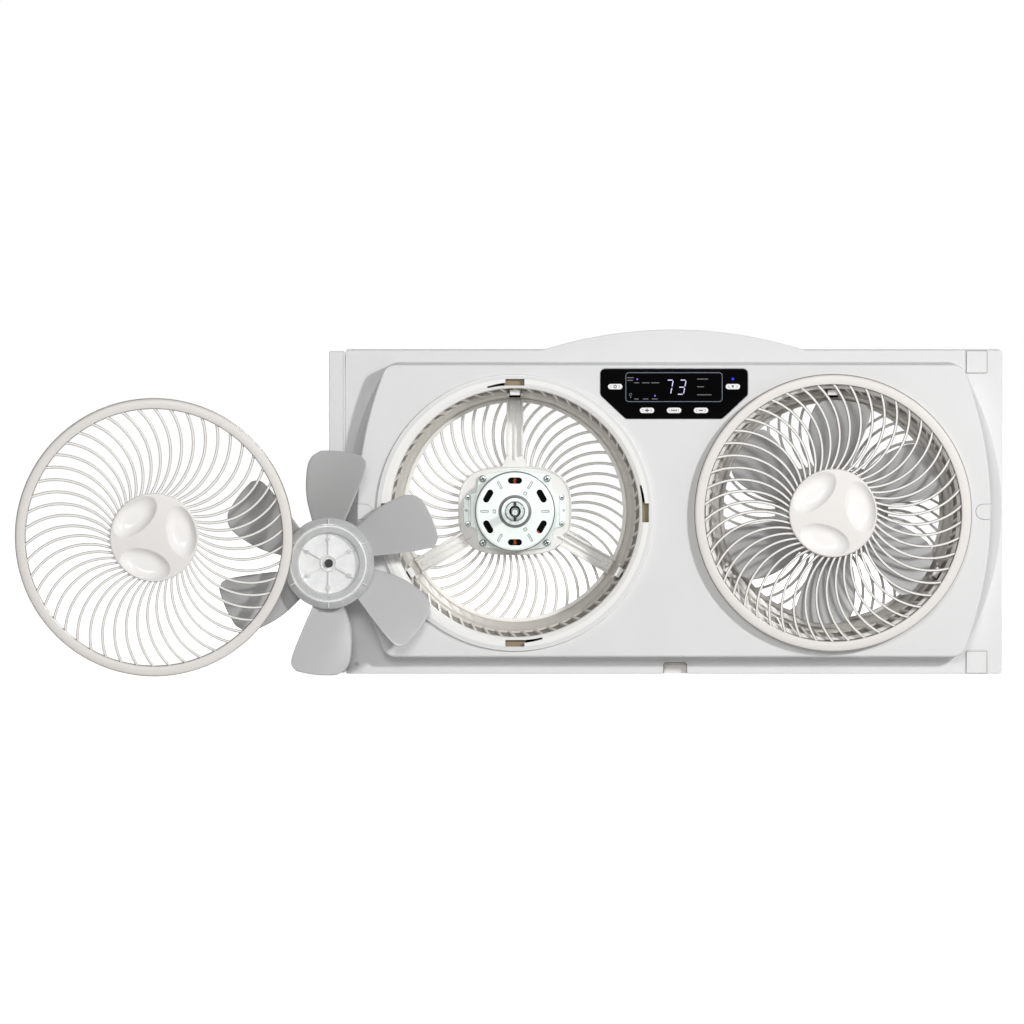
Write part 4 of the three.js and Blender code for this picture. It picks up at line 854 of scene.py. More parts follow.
def fascia_line(half_w, half_h, bow, fillet):
    """The fascia's outline: two bowed sides, four rounded corners and two level edges."""
    radius = (half_h * half_h + bow * bow) / (2 * bow)
    reach = (half_h - fillet) / (1 - fillet / radius)
    lean = math.asin(reach / radius)
    middle = half_w - radius
    end_x = middle + radius * math.cos(lean)
    right = arc(middle, 0, radius, -lean, lean, BOW_STEPS)
    corner = []
    for i in range(1, CORNER_STEPS + 1):
        heading = lean + (math.pi / 2 - lean) * i / CORNER_STEPS
        corner.append((end_x - fillet * (math.cos(lean) - math.cos(heading)),
                       reach + fillet * (math.sin(heading) - math.sin(lean))))
    half = [*right, *corner]
    outline = half + [(-x, y) for x, y in reversed(corner)]
    outline += [(-x, -y) for x, y in right]
    outline += [(-x, -y) for x, y in corner]
    outline += [(x, -y) for x, y in reversed(corner)]
    return [(x, y + FASCIA.mid_v) for x, y in outline]


def fascia_ring(sizes, share, shrink=0.0):
    """The fascia's outline between its foot, share 0, and its face, share 1."""
    foot_w, foot_h = FASCIA.width / 2, FASCIA.height / 2
    half_w = foot_w - sizes.side_lean * share
    half_h = foot_h - sizes.level_lean * share
    bow = sizes.foot_bow + (sizes.face_bow - sizes.foot_bow) * share
    fillet = sizes.foot_corner + (sizes.face_corner - sizes.foot_corner) * share
    line = fascia_line(half_w, half_h, bow, fillet)
    return inset(line, shrink) if shrink else line


def fascia_share(t):
    """How far a wall has leaned in at a share of its depth."""
    return 1 - (1 - t) ** FASCIA_CURVE


def panel_line(sizes, grow):
    """The control panel's outline, grown by some millimetres."""
    half = BEZEL.width / 2
    bend = BEZEL.top - sizes.side
    slope = math.atan2(bend - BEZEL.bottom, half - sizes.foot)
    knee = grow * math.tan(slope / 2)
    heel = grow * math.tan(math.pi / 4 - slope / 2)
    radius = sizes.corner + grow
    corners = [(sizes.foot + heel, BEZEL.bottom - grow, radius), (half + grow, bend - knee, radius),
               (half + grow, BEZEL.top + grow, radius)]
    corners += [(-x, y, r) for x, y, r in reversed(corners)]
    return rounded(corners, 6)


def latch_line(grow, outer):
    """The latch's outline: round on the inside, straight on the outside."""
    radius = LATCH.height / 2 + grow
    middle = LATCH.left + LATCH.height / 2
    line = arc(middle, LATCH.mid_v, radius, math.pi / 2, 3 * math.pi / 2, 24)
    return line + [(outer, LATCH.mid_v - radius), (outer, LATCH.mid_v + radius)]


def mirrored(loop):
    return [(-x, y) for x, y in reversed(loop)]


class WINDOWFAN_OT_housing(bpy.types.Operator):
    """Build the rear housing with its arched flange, back wall and cord notch"""
    bl_idname = "window_fan.housing"
    bl_label = "Rear housing"

    def execute(self, context):
        sizes = millimetres(context.scene.window_fan_housing)
        duct = millimetres(context.scene.window_fan_duct)
        front, back = HOUSING.front, HOUSING.back
        rim = sizes.rim
        ledge = front - sizes.arch_depth
        under = front - FLANGE_SHEET
        inner_back = back + sizes.wall
        panel = back + REAR_SUNK
        seat = fascia_ring(sizes, 0, sizes.seat)
        flat = housing_line(sizes)
        straight = housing_line(sizes, lift=0)
        shape = Shape()
        shape.flat([housing_line(sizes, shrink=rim), seat], front)
        edge = [ring_at(housing_line(sizes, shrink=rim * (1 - math.sin(turn * DEG))),
                        front - rim + rim * math.cos(turn * DEG)) for turn in (0, 30, 60, 90)]
        shape.skin([*edge, ring_at(flat, ledge)])
        shape.skin([ring_at(flat, ledge), ring_at(straight, ledge)])
        rings = [ring_at(straight, ledge), ring_at(straight, back + sizes.back_round)]
        for step in range(1, EDGE_STEPS + 1):
            angle = step / EDGE_STEPS * math.pi / 2
            ease = sizes.back_round * (1 - math.cos(angle))
            rings.append(ring_at(housing_line(sizes, lift=0, shrink=ease),
                                 back + sizes.back_round * (1 - math.sin(angle))))
        rear_frame = housing_line(sizes, lift=0, shrink=REAR_FRAME)
        rear_panel = housing_line(sizes, lift=0, shrink=REAR_FRAME + 1)
        shape.skin([*rings, ring_at(rear_frame, back), ring_at(rear_panel, panel)])
        hole = duct.rear + duct.wall + 2 * FIT
        mouths = [circle(hole + REAR_LIP, ROUND, x, FAN_V) for x in (-FAN_U, FAN_U)]
        shape.flat([rear_panel, *mouths], panel)
        holes = []
        for x in (-FAN_U, FAN_U):
            shape.turned([(hole + REAR_LIP, panel), (hole + REAR_LIP - LIP_EDGE, back),
                          (hole + LIP_EDGE, back), (hole, back + LIP_EDGE), (hole, inner_back)], ROUND,
                         closed=False, u=x, v=FAN_V)
            holes.append(circle(hole, ROUND, x, FAN_V))
        inner = housing_line(sizes, lift=0, shrink=sizes.wall)
        shape.flat([inner, *holes], inner_back)
        shape.skin([ring_at(inner, inner_back), ring_at(inner, under)])
        shape.flat([inner, seat], under)
        shape.skin([ring_at(seat, under), ring_at(seat, front)])
        mesh = shape.mesh("rear_housing", ["housing"], 28)

        cutter = Shape()
        half = sizes.notch_width / 2
        cutter.plate(rectangle(NOTCH_MIDDLE - half, NOTCH_MIDDLE + half, -8, sizes.notch_height, 3, 6),
                     front - sizes.notch_depth, front + 2, 0)
        rails = Span("side_extender").front
        for low, high in ARM_LEVELS:
            cutter.plate(rectangle(HOUSING.left - 2, HOUSING.left + 5, low - FIT, high + FIT),
                         rails - ARM_BACK - FIT, rails - ARM_FRONT + FIT, 0)
        mesh = carve(mesh, cutter.mesh("notch", ["housing"]), 28)
        stand_for(show("housing_shell", mesh), "rear_housing")
        self.notch_liner(sizes)
        self.back_details()
        return {"FINISHED"}

    @staticmethod
    def notch_liner(sizes):
        """The pale channel that the cord notch opens into: its walls take painted shade and its pale back
        is painted light.
        """
        left, right = NOTCH_MIDDLE - sizes.notch_width / 2, NOTCH_MIDDLE + sizes.notch_width / 2
        wall, low, high, deep = 0.9, 0.4, sizes.notch_height, 9.0
        front = HOUSING.front
        shape = Shape()
        shape.plate(rounded([(right, low, 0), (right, high, 3), (left, high, 3), (left, low, 0),
                             (left + wall, low, 0), (left + wall, high - wall, 2.2),
                             (right - wall, high - wall, 2.2), (right - wall, low, 0)]),
                    front - deep - 1, front - 0.3, 0.2, tint=1)
        shape.plate(rectangle(left + 0.4, right - 0.4, low, high - 0.4), front - deep - 1, front - deep, 0)
        add_detail("notch_channel", shape, ["painted_light_white", "painted_side_shade"], "rear_housing")

    @staticmethod
    def back_details():
        """Ribs, a bare plate and screws on the back wall, and the plug of the flange."""
        back, front = HOUSING.back, HOUSING.front
        low, high = back + RIB_BACK, back + RIB_FRONT
        ribs = Shape()
        for x in MIDDLE_RIBS:
            ribs.plate(pill(x, 96, RIB_WIDTH, 86, 6), low, high, 0.3)
        ribs.plate(rectangle(-20, 20, 196, 262, 3), back + 0.5, high, 0.3)
        middle, rib_length = SIDE_RIB
        for side in (-1, 1):
            for y in SIDE_RIB_LEVELS:
                ribs.plate(pill(side * middle, y, rib_length, RIB_WIDTH, 6), low, high, 0.3)
        add_detail("housing_back_ribs", ribs, ["housing"], "rear_housing")
        screws = Shape()
        for x, y in SCREW_SPOTS:
            screws.turned([(0, back + 1.2), (3.6, back + 1.2), (3.6, back + 0.5), (2.8, back + 0.1),
                           (0, back + 0.1)], 24, closed=False, u=x, v=y)
        add_detail("housing_back_screws", screws, ["steel"], "rear_housing", "steel")
        profile = ((0, -1), (2.5, -1), (2.5, 0.12), (2.2, 0.25), (1.1, 0.25), (0.9, 0.1), (0, 0.1))
        plug = Shape().turned([(radius, front + w) for radius, w in profile], 32, closed=False,
                              u=PLUG_SPOT[0], v=PLUG_SPOT[1])
        add_detail("flange_plug", plug, ["blade"], "rear_housing")


class WINDOWFAN_OT_fascia(bpy.types.Operator):
    """Build the raised front fascia with its bowed sides, openings and panel recess"""
    bl_idname = "window_fan.fascia"
    bl_label = "Front fascia"

    def execute(self, context):
        sizes = millimetres(context.scene.window_fan_housing)
        panel = millimetres(context.scene.window_fan_panel)
        front, back = FASCIA.front, FASCIA.back
        ease = sizes.edge_round
        shape = Shape()
        rings = []
        for row in range(FASCIA_ROWS + 1):
            t = row / FASCIA_ROWS
            rings.append(ring_at(fascia_ring(sizes, fascia_share(t)), back + (front - ease - back) * t))
        for step in range(1, EDGE_STEPS + 1):
            angle = step / EDGE_STEPS * math.pi / 2
            rings.append(ring_at(fascia_ring(sizes, 1, ease * (1 - math.cos(angle))),
                                 front - ease + ease * math.sin(angle)))
        shape.skin(rings)
        opening = DUCT.width / 2 - 3.1
        holes = [circle(opening, ROUND, x, FAN_V) for x in (-FAN_U, FAN_U)]
        lip_w, lip_h = 0.8, 0.35
        recess = panel_line(panel, FIT)
        lip = panel_line(panel, FIT + lip_w)
        shape.flat([[p[:2] for p in rings[-1]], *holes, lip], front)
        ledge = front - panel.sunk
        under = front - sizes.wall
        through = panel_line(panel, -panel.ledge)
        shape.skin([ring_at(lip, front), ring_at(panel_line(panel, FIT + lip_w / 2), front - lip_h / 2),
                    ring_at(recess, front - lip_h * 1.6), ring_at(recess, ledge), ring_at(through, ledge),
                    ring_at(through, under)])
        for hole in holes:
            shape.skin([ring_at(hole, front), ring_at(hole, under)])
        inside = []
        for row in range(INSIDE_ROWS + 1):
            t = row / INSIDE_ROWS
            inside.append(ring_at(fascia_ring(sizes, fascia_share(t), sizes.wall),
                                  back + (under - back) * t))
        shape.flat([[p[:2] for p in inside[-1]], *holes, through], under)
        shape.skin(inside)
        shape.skin([rings[0], inside[0]])
        mesh = shape.mesh("front_fascia", ["housing"], 28)

        cutter = Shape()
        floor = front - LATCH_BODY - LATCH_TRAVEL - FIT
        outline = latch_line(FIT, FASCIA.right + 2)
        cutter.plate(outline, floor, front + 2, 0)
        cutter.plate(mirrored(outline), floor, front + 2, 0)
        mesh = carve(mesh, cutter.mesh("latch_cut", ["housing"]), 28)
        stand_for(show("fascia_shell", mesh), "front_fascia")
        return {"FINISHED"}


class WINDOWFAN_OT_trims(bpy.types.Operator):
    """Build the latches, the corner caps and the side extender"""
    bl_idname = "window_fan.trims"
    bl_label = "Latches, caps and extender"

    def execute(self, context):
        for side in SIDES:
            span = Span(f"{side}_latch")
            line = latch_line(0, LATCH.right)
            line = line if side == "right" else mirrored(line)
            shape = Shape().plate(line, span.back, span.front, 0.5, steps=3)
            grip = -1 if side == "left" else 1
            for step in range(3):
                x = span.mid_u + grip * (2.6 * step - 1)
                shape.plate(pill(x, span.mid_v, 1.1, 8.4 - step, 5), span.front - 0.4,
                            span.front - 0.02, 0.2)
            stand_for(show(f"{side}_latch_tab_cover", shape.mesh(f"{side}_latch", ["housing"])),
                      f"{side}_latch")
        for node in ("upper_corner_cap", "lower_corner_cap"):
            span = Span(node)
            # the caps' sides take painted shade, so that their outline shows as a dark line
            shape = Shape().plate(rectangle(span.left, span.right, span.bottom, span.top, 1, 4),
                                  span.back, span.front, 0.55, back_rim=0.4, steps=3, side_tint=1)
            if node == "lower_corner_cap":
                shape.plate(pill(span.mid_u + 5, span.mid_v + 1, 0.8, 4, 4), span.front - 0.5,
                            span.front - 0.01, 0.1)
            stand_for(show(f"{node}_plate", shape.mesh(node, ["housing", "painted_side_shade"])), node)
        strip = Span("side_extender")
        inner = strip.left + STRIP_WIDTH
        shape = Shape().plate(rectangle(strip.left, inner, strip.bottom, strip.top, 1.5, 5),
                              strip.back, strip.front, 0.9, back_rim=0.8, steps=3)
        for low, high in ARM_LEVELS:
            shape.block(inner - 2, strip.right, low, high, strip.front - ARM_BACK,
                        strip.front - ARM_FRONT, 0.3)
        groove = Shape().plate(rectangle(inner - 2.4, inner - 1.6, -5, 335), strip.front - 0.8,
                               strip.front + 2, 0)
        mesh = carve(shape.mesh("side_extender", ["housing"]), groove.mesh("groove", ["housing"]))
        stand_for(show("side_extender_strip", mesh), "side_extender")
        return {"FINISHED"}


# -------- ducts and grilles

RING_SHEET = 3.7               # thickness of the duct's front ring
RING_FLAT = 136.4              # radius where the ring's flat face meets its outer band
DUCT_STEP, DUCT_KNEE = 17.0, 20.5      # levels of the step in the duct's wall and of its upper edge
VENT_FRONT, VENT_BACK = 61.0, 25.0
# points round one vent: its share of the pitch, and 1 where the wall is cut deep
VENT_SPOTS = ((0, 0), (0.09, 0), (0.22, 0), (0.25, 1), (0.6, 1), (0.97, 1))
RAMP_TURN = 8.8 * DEG          # length of the run-in beside a bayonet slot
WELL_DEPTH = 3.2
FOOT_TURN = 9.5 * DEG          # bayonet turn of the grille
HOOK_HALF = 6.7                # half the length of a bayonet hook
CROWN = 1.1                    # fall of the grille's disc from its middle to its edge
CROWN_EDGE = 1.4
DISC_RIM = 3.4                 # from the disc's crown to the foot of its rim

class WINDOWFAN_OT_ducts(bpy.types.Operator):
    """Build both ducts with their rings, bayonet slots, slanted vents and brackets"""
    bl_idname = "window_fan.ducts"
    bl_label = "Ducts"

    def execute(self, context):
        sizes = millimetres(context.scene.window_fan_duct)
        mesh = self.duct_mesh(sizes)
        for side in SIDES:
            stand_for(show(f"{side}_duct_shell", mesh, FAN_PLACES[side]), f"{side}_duct")
        return {"FINISHED"}

    @staticmethod
    def finishes():
        return ["ring", "vent", "pocket_painted_shade", "painted_deep_shade", "duct_inside_painted_shade", "housing"]

    def duct_mesh(self, sizes):
        ring_r = DUCT.width / 2
        front, back = DUCT.front, DUCT.back
        under = front - RING_SHEET
        knee = sizes.step + 0.3 * (sizes.mouth - sizes.step)

        def wall_at(w):
            return knee + (sizes.mouth - knee) * (w - DUCT_KNEE) / (under - DUCT_KNEE)

        bevel = sizes.mouth + sizes.bevel
        rows = [
            (ring_r, under, 0), (ring_r, front - 1.2, 0), (ring_r - 0.35, front - 0.35, 0),
            (ring_r - 1.2, front, 0), (RING_FLAT, front, 0), (bevel + 0.5, front, 0),
            (bevel - 0.2, front - 0.3, 0), (sizes.mouth + 0.4, front - 2.2, 0), (sizes.mouth, front - 3, 0),
            (sizes.mouth, under, 0),
            (wall_at(VENT_FRONT), VENT_FRONT, 0), (wall_at(VENT_FRONT), VENT_FRONT, 1),
            (wall_at(48), 48, 1), (wall_at(36), 36, 1),
            (wall_at(VENT_BACK), VENT_BACK, 1), (wall_at(VENT_BACK), VENT_BACK, 0),
            (knee, DUCT_KNEE, 0), (sizes.step + 0.2, DUCT_STEP + 0.4, 0), (sizes.step, DUCT_STEP, 0),
            (sizes.step - 1.2, DUCT_STEP - 16, 0), (sizes.rear + 0.4, back + 2, 0),
            (sizes.rear + 0.4, back, 0), (sizes.rear + sizes.wall, back, 0),
            (sizes.step + sizes.wall, DUCT_STEP, 0), (knee + sizes.wall, DUCT_KNEE, 0),
            (sizes.mouth + sizes.wall, under, 0),
        ]
        pitch = 2 * math.pi / sizes.vents
        columns = [((i + share) * pitch, deep) for i in range(sizes.vents) for share, deep in VENT_SPOTS]
        rings = []
        tints = []
        for radius, w, cut in rows:
            share = min(max((w - VENT_BACK) / (VENT_FRONT - VENT_BACK), 0), 1)
            lag = sizes.vent_turn * share if w < under else sizes.vent_turn
            if radius >= sizes.mouth + 0.01 or w < VENT_BACK:
                lag = 0 if w < VENT_BACK else sizes.vent_turn
            ring = []
            for angle, deep in columns:
                r = radius + (sizes.vent_depth if cut and deep else 0)
                ring.append((r * math.cos(angle + lag), r * math.sin(angle + lag), w))
            rings.append(ring)
            # the inner wall takes the darker inside tone, painted shade; the outer band of the ring's face
            # takes the housing's tone
            inside = back < w <= VENT_FRONT and radius < sizes.mouth
            tints.append(5 if w == front and radius > RING_FLAT else 4 if inside else 0)
        shape = Shape()
        shape.skin(rings, tints, loop=True)
        # faces cut deep into the vents take the vent tone, painted shade of their depth
        size = len(columns)
        for number in range(len(rings)):
            if rows[number][2] and rows[(number + 1) % len(rows)][2]:
                for j, (_, deep) in enumerate(columns):
                    if deep and columns[(j + 1) % size][1]:
                        shape.tints[number * size + j] = 1
        mesh = shape.mesh("duct", self.finishes(), 30)

        cutter = Shape()
        slot = Shape()
        half = sizes.slot_length / 2
        inner = sizes.slot_radius - sizes.slot_width / 2
        outer = sizes.slot_radius + sizes.slot_width / 2
        slot.plate(rectangle(inner, outer, -half, half, 0.5, 3), under - 2, front + 2, 0)
        start = math.atan2(half, sizes.slot_radius) - 0.01
        end = start + RAMP_TURN
        ramp = arc(0, 0, inner + 0.4, start, end, 8)
        ramp += [((inner + r) * math.cos(t), (inner + r) * math.sin(t))
                 for r, t in ((2.2, end), (2.9, (start + end) / 2), (3.5, start))]
        slot.plate(ramp, under - 2, front + 2, 0)
        cutter.copies(4, slot)
        mesh = carve(mesh, cutter.mesh("slots", ["ring"]), 30)
        return self.with_pockets(mesh, inner, outer, half, under)

    @staticmethod
    def with_pockets(mesh, inner, outer, half, under):
        """Adds the wells behind the bayonet slots and the brackets on the wall to the duct's mesh."""
        floor = under - WELL_DEPTH
        part = Shape()
        # the wells' floor and walls take the pocket tone, painted shade
        part.plate(rectangle(inner - 0.4, outer + 1, -half - 1, half + 1, 0.4, 2), floor - 1, floor, 0,
                   tint=2)
        for left, right, low, high in ((outer + 0.2, outer + 1, -half - 1, half + 1),
                                       (inner, outer + 0.6, -half - 1, -half - 0.1)):
            part.plate(rectangle(left, right, low, high), floor - 0.2, under - 0.05, 0, tint=2)
        clip = Shape().block(119.5, 125.2, -5.2, 5.2, 22, 52, 0.5)
        for low, high in ((-8.6, -5.8), (5.8, 8.6)):
            clip.block(118.2, 121.5, low, high, 14, 30, 0.4)
        wells = Shape().copies(4, part).copies(3, clip, math.pi / 2)
        # a near-black plate behind the top bracket, painted shade
        wells.plate(rectangle(-5.7, 5.7, 116.4, 119.4), 14, 20, 0.2, tint=3)
        return merged(mesh, wells.mesh("wells", WINDOWFAN_OT_ducts.finishes(), 30), 30)


def bar_line(inner, outer, lag, bulge, steps, way=1):
    """Middle line of a grille bar: an arc from the disc to the ring that bulges sideways."""
    start = Vector((inner, 0))
    end = Vector((outer * math.cos(lag), -outer * math.sin(lag)))
    chord = end - start
    half = chord.length / 2
    radius = (half * half + bulge * bulge) / (2 * bulge)
    along = chord.normalized()
    side = Vector((along.y, -along.x))
    middle = (start + end) / 2 + side * (bulge - radius)
    sweep = math.asin(half / radius)
    line = []
    for i in range(steps + 1):
        t = -sweep + 2 * sweep * i / steps
        point = middle + along * radius * math.sin(t) + side * radius * math.cos(t)
        line.append((point.x, way * point.y))
    return line


def swept_bar(line, width, back, front, side_tint=1):
    """A grille bar with drafted sides and a rounded front, along a line; its sides take the side tint,
    painted shade.
    """
    half = width / 2
    height = front - back
    section = [(-half * 0.9, back), (-half, back + height * 0.15), (-half * 0.74, back + height * 0.82),
               (-half * 0.46, front), (half * 0.46, front), (half * 0.74, back + height * 0.82),
               (half, back + height * 0.15), (half * 0.9, back)]
    # the sides and the back of the bar take painted shade
    painted_shade_spans = {0, 1, 5, 6, 7}
    shape = Shape()
    rings = []
    for i, (x, y) in enumerate(line):
        before = Vector(line[max(i - 1, 0)])
        after = Vector(line[min(i + 1, len(line) - 1)])
        along = (after - before).normalized()
        rings.append([(x + along.y * -s, y + along.x * s, w) for s, w in section])
    shape.skin(rings, 0, cap=True)
    size = len(section)
    for number in range((len(line) - 1) * size):
        if number % size in painted_shade_spans:
            shape.tints[number] = side_tint
    return shape


class WINDOWFAN_OT_rear_grilles(bpy.types.Operator):
    """Build the spiral grilles at the back of both ducts"""
    bl_idname = "window_fan.rear_grilles"
    bl_label = "Rear grilles"

    def execute(self, context):
        sizes = millimetres(context.scene.window_fan_grille)
        back, front = REAR_GRILLE.back, REAR_GRILLE.front
        outer = REAR_GRILLE.height / 2 + 0.2
        inner = outer - 4
        shape = Shape()
        shape.turned(rounded([(inner, back, 0.6), (outer, back, 0.6), (outer, front, 0.8),
                              (inner, front, 0.8)], 3), ROUND)
        disc = sizes.rear_disc
        shape.turned([(0, back), (disc - 0.8, back), (disc, back + 0.8), (disc, front - 1),
                      (disc - 1, front), (disc - 3, front), (disc - 4, front - 0.8), (0, front - 0.8)],
                     ROUND, closed=False)
        line = bar_line(disc - 1, inner + 1, sizes.rear_lag, sizes.rear_bulge, 18, -1)
        bar = swept_bar(line, sizes.rear_width, back + 0.3, front - 0.2)
        shape.copies(sizes.bars, bar, sizes.rear_turn)
        mesh = shape.mesh("rear_grille", ["bar", "painted_side_shade"], 40)
        for side in SIDES:
            stand_for(show(f"{side}_rear_grille_bars", mesh, FAN_PLACES[side], weighted=False),
                      f"{side}_rear_grille")
        return {"FINISHED"}


class WINDOWFAN_OT_front_grilles(bpy.types.Operator):
    """Build the front grilles with their rings, curved bars, bayonet hooks and dimpled discs"""
    bl_idname = "window_fan.front_grilles"
    bl_label = "Front grilles"

    def execute(self, context):
        sizes = millimetres(context.scene.window_fan_grille)
        duct = millimetres(context.scene.window_fan_duct)
        rear = DUCT.front + FIT
        front = rear + sizes.height
        outer = FRONT_GRILLE.width / 2
        inner = outer - sizes.band
        shape = Shape()
        # rows marked 1 take painted shade on the ring's outer and inner side walls; rows marked 2 take the
        # ring's own tone
        profile = [(inner + 0.3, rear, 2), (outer - 0.4, rear, 1), (outer, rear + 0.6, 1),
                   (outer - 0.8, front - 1.5, 2), (outer - 1.4, front - 0.5, 2), (outer - 2.6, front, 2),
                   (inner + 2.4, front, 2), (inner + 1.3, front - 0.4, 2), (inner + 0.8, front - 1.4, 1),
                   (inner, rear + 0.5, 1)]
        shape.turned([row[:2] for row in profile], ROUND, tint=[row[2] for row in profile])
        line = bar_line(sizes.disc - 1, inner + 1.2, sizes.bar_lag, sizes.bar_bulge, 22)
        low = rear + sizes.bar_back
        shape.copies(sizes.bars, swept_bar(line, sizes.bar_width, low, low + sizes.bar_depth))
        self.hooks(shape, duct, rear)
        mesh = shape.mesh("front_grille_bars", ["bar", "painted_side_shade", "grille_ring"], 40)
        disc = self.disc(sizes, rear + 1.6, FRONT_GRILLE.front)
        disc = disc.mesh("front_grille_disc", ["disc", "painted_light_white"], 60)
        for side in SIDES:
            node = f"{side}_front_grille"
            stand_for(show(f"{side}_front_grille_bars", mesh, GRILLE_PLACES[side], weighted=False), node)
            stand_for(show(f"{side}_front_grille_disc", disc, GRILLE_PLACES[side], weighted=False), node)
        return {"FINISHED"}

    @staticmethod
    def hooks(shape, duct, rear):
        """Four bayonet hooks behind the ring."""
        hook = Shape()
        half = HOOK_HALF / duct.slot_radius
        low = FRONT_GRILLE.back

        def sector(inner, outer, z0, z1):
            line = arc(0, 0, outer, -half, half, 6) + arc(0, 0, inner, half, -half, 6)
            hook.plate(line, z0, z1, 0.2)

        sector(duct.slot_radius - 2.6, duct.slot_radius + 2.6, low, low + 1.9)
        sector(duct.slot_radius - 1.1, duct.slot_radius + 1.1, low + 0.2, rear + 1)
        shape.copies(4, hook, FOOT_TURN)

    @staticmethod
    def disc(sizes, back, front):
        """The disc: a low crown with three finger dimples."""
        facets, rows = 288, 84
        radius = sizes.disc
        turns = [sizes.dimple_turn + k * 2 * math.pi / 3 for k in range(3)]

        def height(x, y):
            r = math.hypot(x, y)
            level = front - CROWN * (r / radius) ** 2
            edge = radius - r
            if edge < CROWN_EDGE:
                level -= CROWN_EDGE - math.sqrt(max(CROWN_EDGE ** 2 - (CROWN_EDGE - edge) ** 2, 0))
            for angle in turns:
                c, s = math.cos(angle), math.sin(angle)
                across = (x * c + y * s - sizes.dimple_middle) / sizes.dimple_wide
                along = (y * c - x * s) / sizes.dimple_long
                reach = (1 - math.hypot(across, along)) * sizes.dimple_wide + 0.3
                if reach > 0:
                    share = min(reach * reach / (reach + 0.3) / 10, 1)
                    level -= sizes.dimple_depth * (1 - (1 - share) ** 2.6)
            return level

        edge_line = circle(radius, facets)
        rings = [ring_at(edge_line, back), ring_at(edge_line, front - DISC_RIM)]
        for row in range(rows, 0, -1):
            share = row / rows
            r = radius * (1 - (1 - share) ** 1.1)
            rings.append([(x, y, height(x, y)) for x, y in circle(r, facets)])
        shape = Shape().skin(rings)
        start = len(shape.points)
        shape.points.append((0, 0, height(0, 0)))
        last = start - facets
        for j in range(facets):
            shape.face((last + j, last + (j + 1) % facets, start))
        # faces sunk into the dimples take a glossier finish whose lighter tone is a painted highlight
        for number, face in enumerate(shape.faces):
            x, y, w = shape.middle(face)
            r = math.hypot(x, y)
            sunk = front - CROWN * (r / radius) ** 2 - w > 0.5
            if sunk and r < radius - CROWN_EDGE and w >= height(x, y) - 1:
                shape.tints[number] = 1
        shape.flat([edge_line], back)
        return shape


# -------- motors and mounts

REAR_COVER_CUP = 33.6          # radius of the rear cover's cup
EAR_REACH = SCREW_STEP + 5.7   # half the distance between the covers' ears
MOUNT_PLATE = 3.0
MOUNT_RIM = ((0, -0.5), (0.2, 1.3), (0.8, 1.6), (1.4, 1.3), (1.6, -0.5))
ARM_REACH, ARM_ROOT = 114.2, 43.0
STAMPED = ((0, -0.2), (0.65, 0.4), (0.8, 0.4), (1.1, -0.2))    # section of a stamped line on the can
# the stamped lines' sides take painted shade
STAMPED_SHADE_TINTS = [1, 0, 1, 0]
PIN_LEVEL = (PIN.back + PIN.front) / 2
SCREW_CORNERS = {"upper_right": (1, 1), "upper_left": (-1, 1),
                 "lower_left": (-1, -1), "lower_right": (1, -1)}
COIL_LEVELS = ((5.4, 10.3), (-16.3, -11.5))    # back and front of the coil ends before and behind the core
COIL_MIDDLE, COIL_HALF = 30.0, 6.8
# a near-black sheet before the coils paints the shade inside the can; these gaps in it let the copper show
SHADE_SHEET_GAPS = ((90, 2.6), (270, 2.6), (317.5, 3), (450, 2.6))   # angle and half width where copper shows

class WINDOWFAN_OT_mounts(bpy.types.Operator):
    """Build the three-armed plastic mounts that carry the motors"""
    bl_idname = "window_fan.mounts"
    bl_label = "Motor mounts"

    def execute(self, context):
        sizes = millimetres(context.scene.window_fan_motor)
        back = MOUNT.back
        front = back + MOUNT_PLATE
        hole = circle(REAR_COVER_CUP + FIT + 0.2, 72)
        outline = lobes([(58, 45.5, 0)], corner=3)
        shape = Shape().plate(outline, back, front, 0.9, holes=[hole], steps=3)
        ridge(shape, inset(outline, 0.1), front, MOUNT_RIM)
        shape.copies(3, self.arm(sizes, back, front), math.pi / 2)
        mesh = shape.mesh("motor_mount", ["ring"], 35)
        for side in SIDES:
            stand_for(show(f"{side}_motor_mount_spider", mesh, FAN_PLACES[side]), f"{side}_motor_mount")
        return {"FINISHED"}

    @staticmethod
    def arm(sizes, back, front):
        """One arm: a web with two rims, a middle rib and a foot that takes its screw."""
        half = sizes.arm / 2
        reach, root = ARM_REACH, ARM_ROOT
        top = MOUNT.front
        arm = Shape()
        web = rounded([(root, -half - 6, 0), (root + 12, -half, 9), (reach, -half, 0.6), (reach, half, 0.6),
                       (root + 12, half, 9), (root, half + 6, 0)], 6)
        arm.plate(web, back + 0.1, front - 0.15, 0.4)
        for side in (-1, 1):
            outer, inner = side * half, side * (half - 2.2)
            low, high = min(outer, inner), max(outer, inner)
            arm.plate(rectangle(57, reach, low, high, 0.6, 3), front - 0.5, top, 0.5)
        arm.plate(rectangle(52, reach - 6, -0.8, 0.8, 0.4, 3), front - 0.5, front + 3.2, 0.3)
        arm.block(reach - 12, reach - 1, -half + 2.4, half - 2.4, front - 0.4, front + 2.4, 0.5)
        arm.turned(rounded([(0, front + 2, 0), (2.6, front + 2, 0), (2.6, front + 3.6, 0.7),
                            (0, front + 3.6, 0)], 3, closed=False), 24, closed=False, u=reach - 6.5)
        return arm


